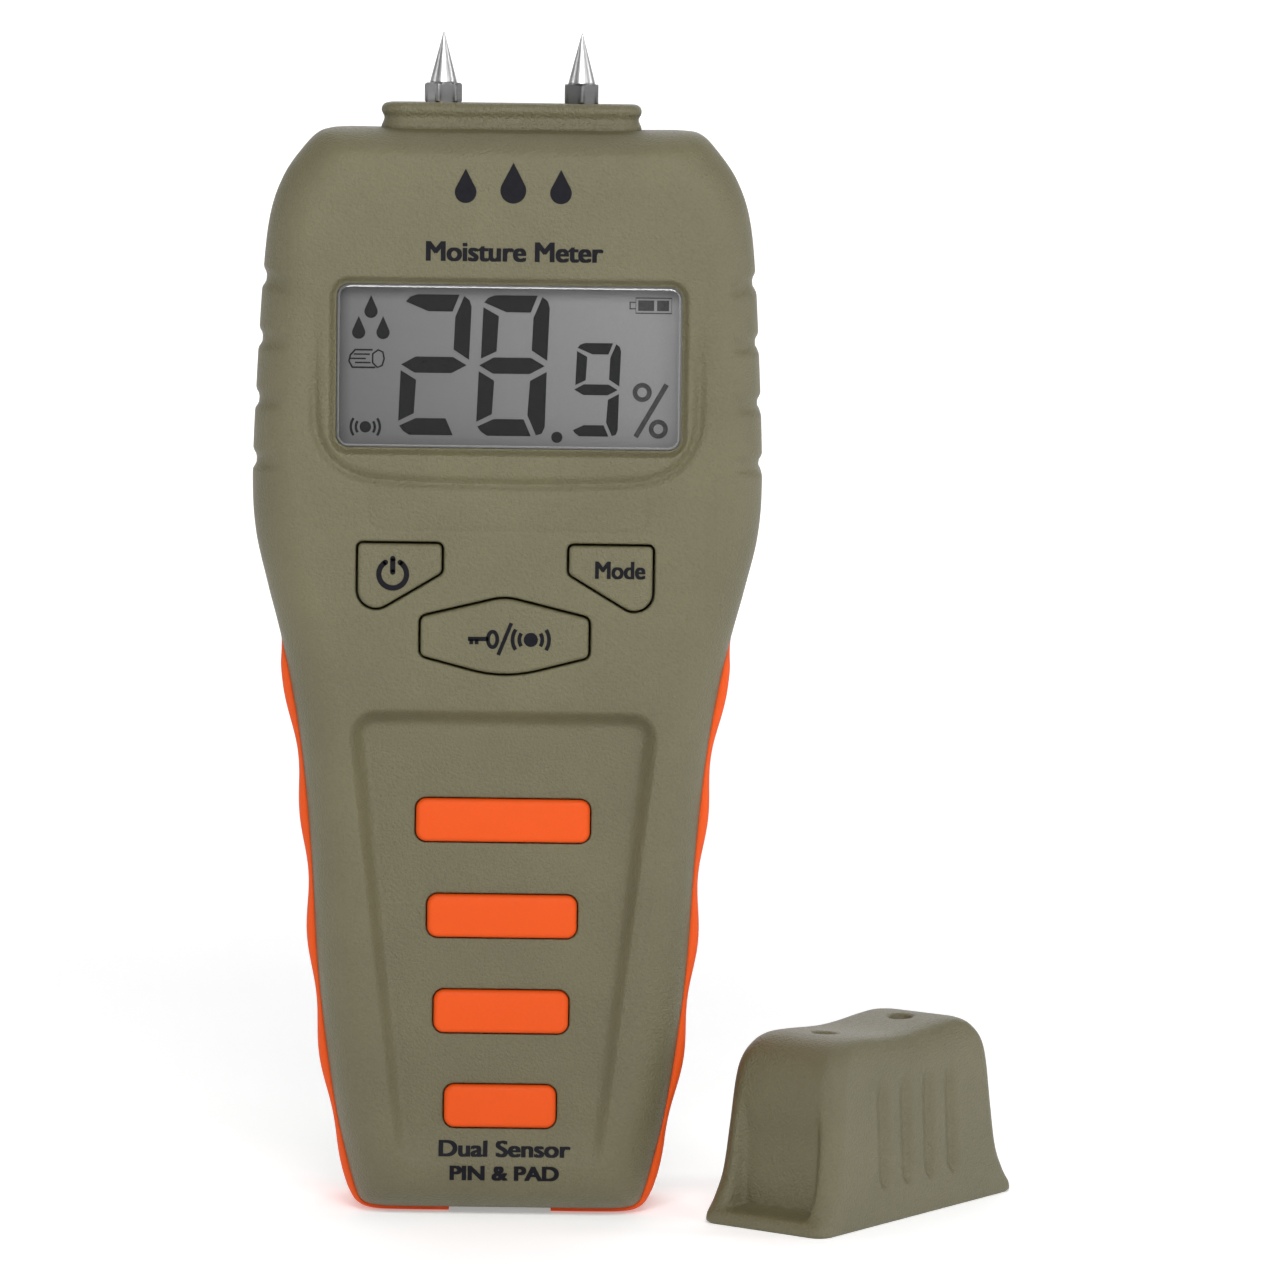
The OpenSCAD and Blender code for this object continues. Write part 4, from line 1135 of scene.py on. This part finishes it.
WIRES = split_by("wire_skins", "X", 0.0, (0.45, 0.015, 0.012), (0.014, 0.014, 0.016), 0.4)
BATTERY = split_by("battery_skin", "Z", 0.041, (0.02, 0.021, 0.026), (0.55, 0.4, 0.14), 0.3)
RESISTOR = moulded("resistor_skin", (0.55, 0.38, 0.2), 0.4, 0.3, 0.01, 0.15)
SENSOR_WIRE = moulded("sensor_wire_skin", (0.016, 0.016, 0.018), 0.42, 0.3, 0.005, 0.15)

for m, nodes in ((OLIVE, ("battery_door",)), (BRASS, ("pin_sockets", "cap_contacts")),
                 (BLACK, ("lcd_frame", "buzzer", "battery_snap", "cap_insert")), (WHITE, ("lcd_backlight",)),
                 (STRIP, ("lcd_connector",)), (board_material(), ("main_board",)), (CHIP, ("board_chips",)),
                 (RUBBER, ("key_mat", "power_dome", "mode_dome", "hold_dome")), (BATTERY, ("battery",)),
                 (SCREW, ("battery_studs", "case_screws", "board_screws")),
                 (WIRES, ("battery_leads", "pin_leads")),
                 (COPPER, ("sensor_plate",)), (SENSOR_WIRE, ("sensor_lead",)), (RESISTOR, ("cap_resistor",))):
    for obj in [NODES[node] for node in nodes]:
        if not obj.material_slots:
            obj.data.materials.append(m)
        for s in obj.material_slots:
            s.material = m


# --- Floor, light and camera ---

def area(name, at, target, size, power):
    light = bpy.data.lights.new(name, "AREA")
    light.shape = "RECTANGLE"
    light.size, light.size_y = size
    light.energy = power
    obj = bpy.data.objects.new(name, light)
    obj.location = at
    obj.rotation_euler = (Vector(target) - Vector(at)).to_track_quat("-Z", "Y").to_euler()
    COLLECTION.objects.link(obj)


area("key_light", (0.03, -0.42, 0.37), (0.02, 0, 0.09), (0.3, 0.2), 1.95)
area("fill_light", (0.8, -0.7, 0.4), (0.02, 0, 0.08), (0.3, 0.6), 1.9)
area("left_light", (-1.36, -0.1, 0.45), (0.0, 0, 0.09), (0.3, 0.8), 3.3)
area("right_light", (1.36, 0.05, 0.45), (0.0, 0, 0.09), (0.3, 0.8), 5.3)
area("backdrop_light", (0.0, 0.9, 1.6), (0.0, 1.8, 0.3), (2.2, 0.4), 16)
# The sky is bright near the horizon and dim above, so that gloss and metal have something to mirror.
world = bpy.data.worlds.new("studio")
world.use_nodes = True
sky = world.node_tree.nodes["Background"]
sky.inputs["Color"].default_value = (1, 1, 1, 1)
glow = spread(world, place(world, "Generated")["Z"], 0.1, 0.2, 0.85, 0.13)
world.node_tree.links.new(glow, sky.inputs["Strength"])
bpy.context.scene.world = world

# A pale sheet: flat under the meter, swept up behind it. Rows of (y, z) in metres.
SWEEP, BEHIND, SHEET_HALF = 0.7, 2.0, 1.3
rows = [(-1.0, 0.0), (0.0, 0.0), (0.6, 0.0), (BEHIND - SWEEP, 0.0)]
rows += [(BEHIND - SWEEP * (1 - math.sin(a)), SWEEP * (1 - math.cos(a)))
         for a in np.linspace(0, math.pi / 2, 13)[1:]]
rows += [(BEHIND, 1.5), (BEHIND, 3)]
sheet = bpy.data.meshes.new("backdrop")
sheet.from_pydata([(x, y, z) for y, z in rows for x in (-SHEET_HALF, SHEET_HALF)], [],
                  [(2 * k, 2 * k + 1, 2 * k + 3, 2 * k + 2) for k in range(len(rows) - 1)])
sheet.polygons.foreach_set("use_smooth", [True] * len(sheet.polygons))
backdrop = bpy.data.objects.new("backdrop", sheet)
PAPER = material("backdrop_paper", (0.9, 0.9, 0.9), 0.8, Emission_Color=(1, 1, 1, 1), Emission_Strength=0.3)
shade(PAPER, "Base Color", mottled(PAPER, noise(PAPER, 40, 3), 0.89, 0.91))
sheet.materials.append(PAPER)
COLLECTION.objects.link(backdrop)

# The camera looks down a little, because the cap shows its top, and rolls by the photo's slight lean.
camera = bpy.data.cameras.new("camera")
camera.lens = 170.2
camera.sensor_width = 36
camera.clip_start = 0.01
cam = bpy.data.objects.new("camera", camera)
ELEVATION, ROLL, DISTANCE = math.radians(5.5), math.radians(0.73), 0.9
look = Vector((0.02004, -0.01, 0.08677))
cam.location = look + Vector((0, -math.cos(ELEVATION), math.sin(ELEVATION))) * DISTANCE
cam.rotation_euler = (look - cam.location).to_track_quat("-Z", "Y").to_euler()
cam.rotation_euler.rotate_axis("Z", ROLL)
COLLECTION.objects.link(cam)
bpy.context.scene.camera = cam
bpy.context.scene.view_settings.view_transform = "Standard"
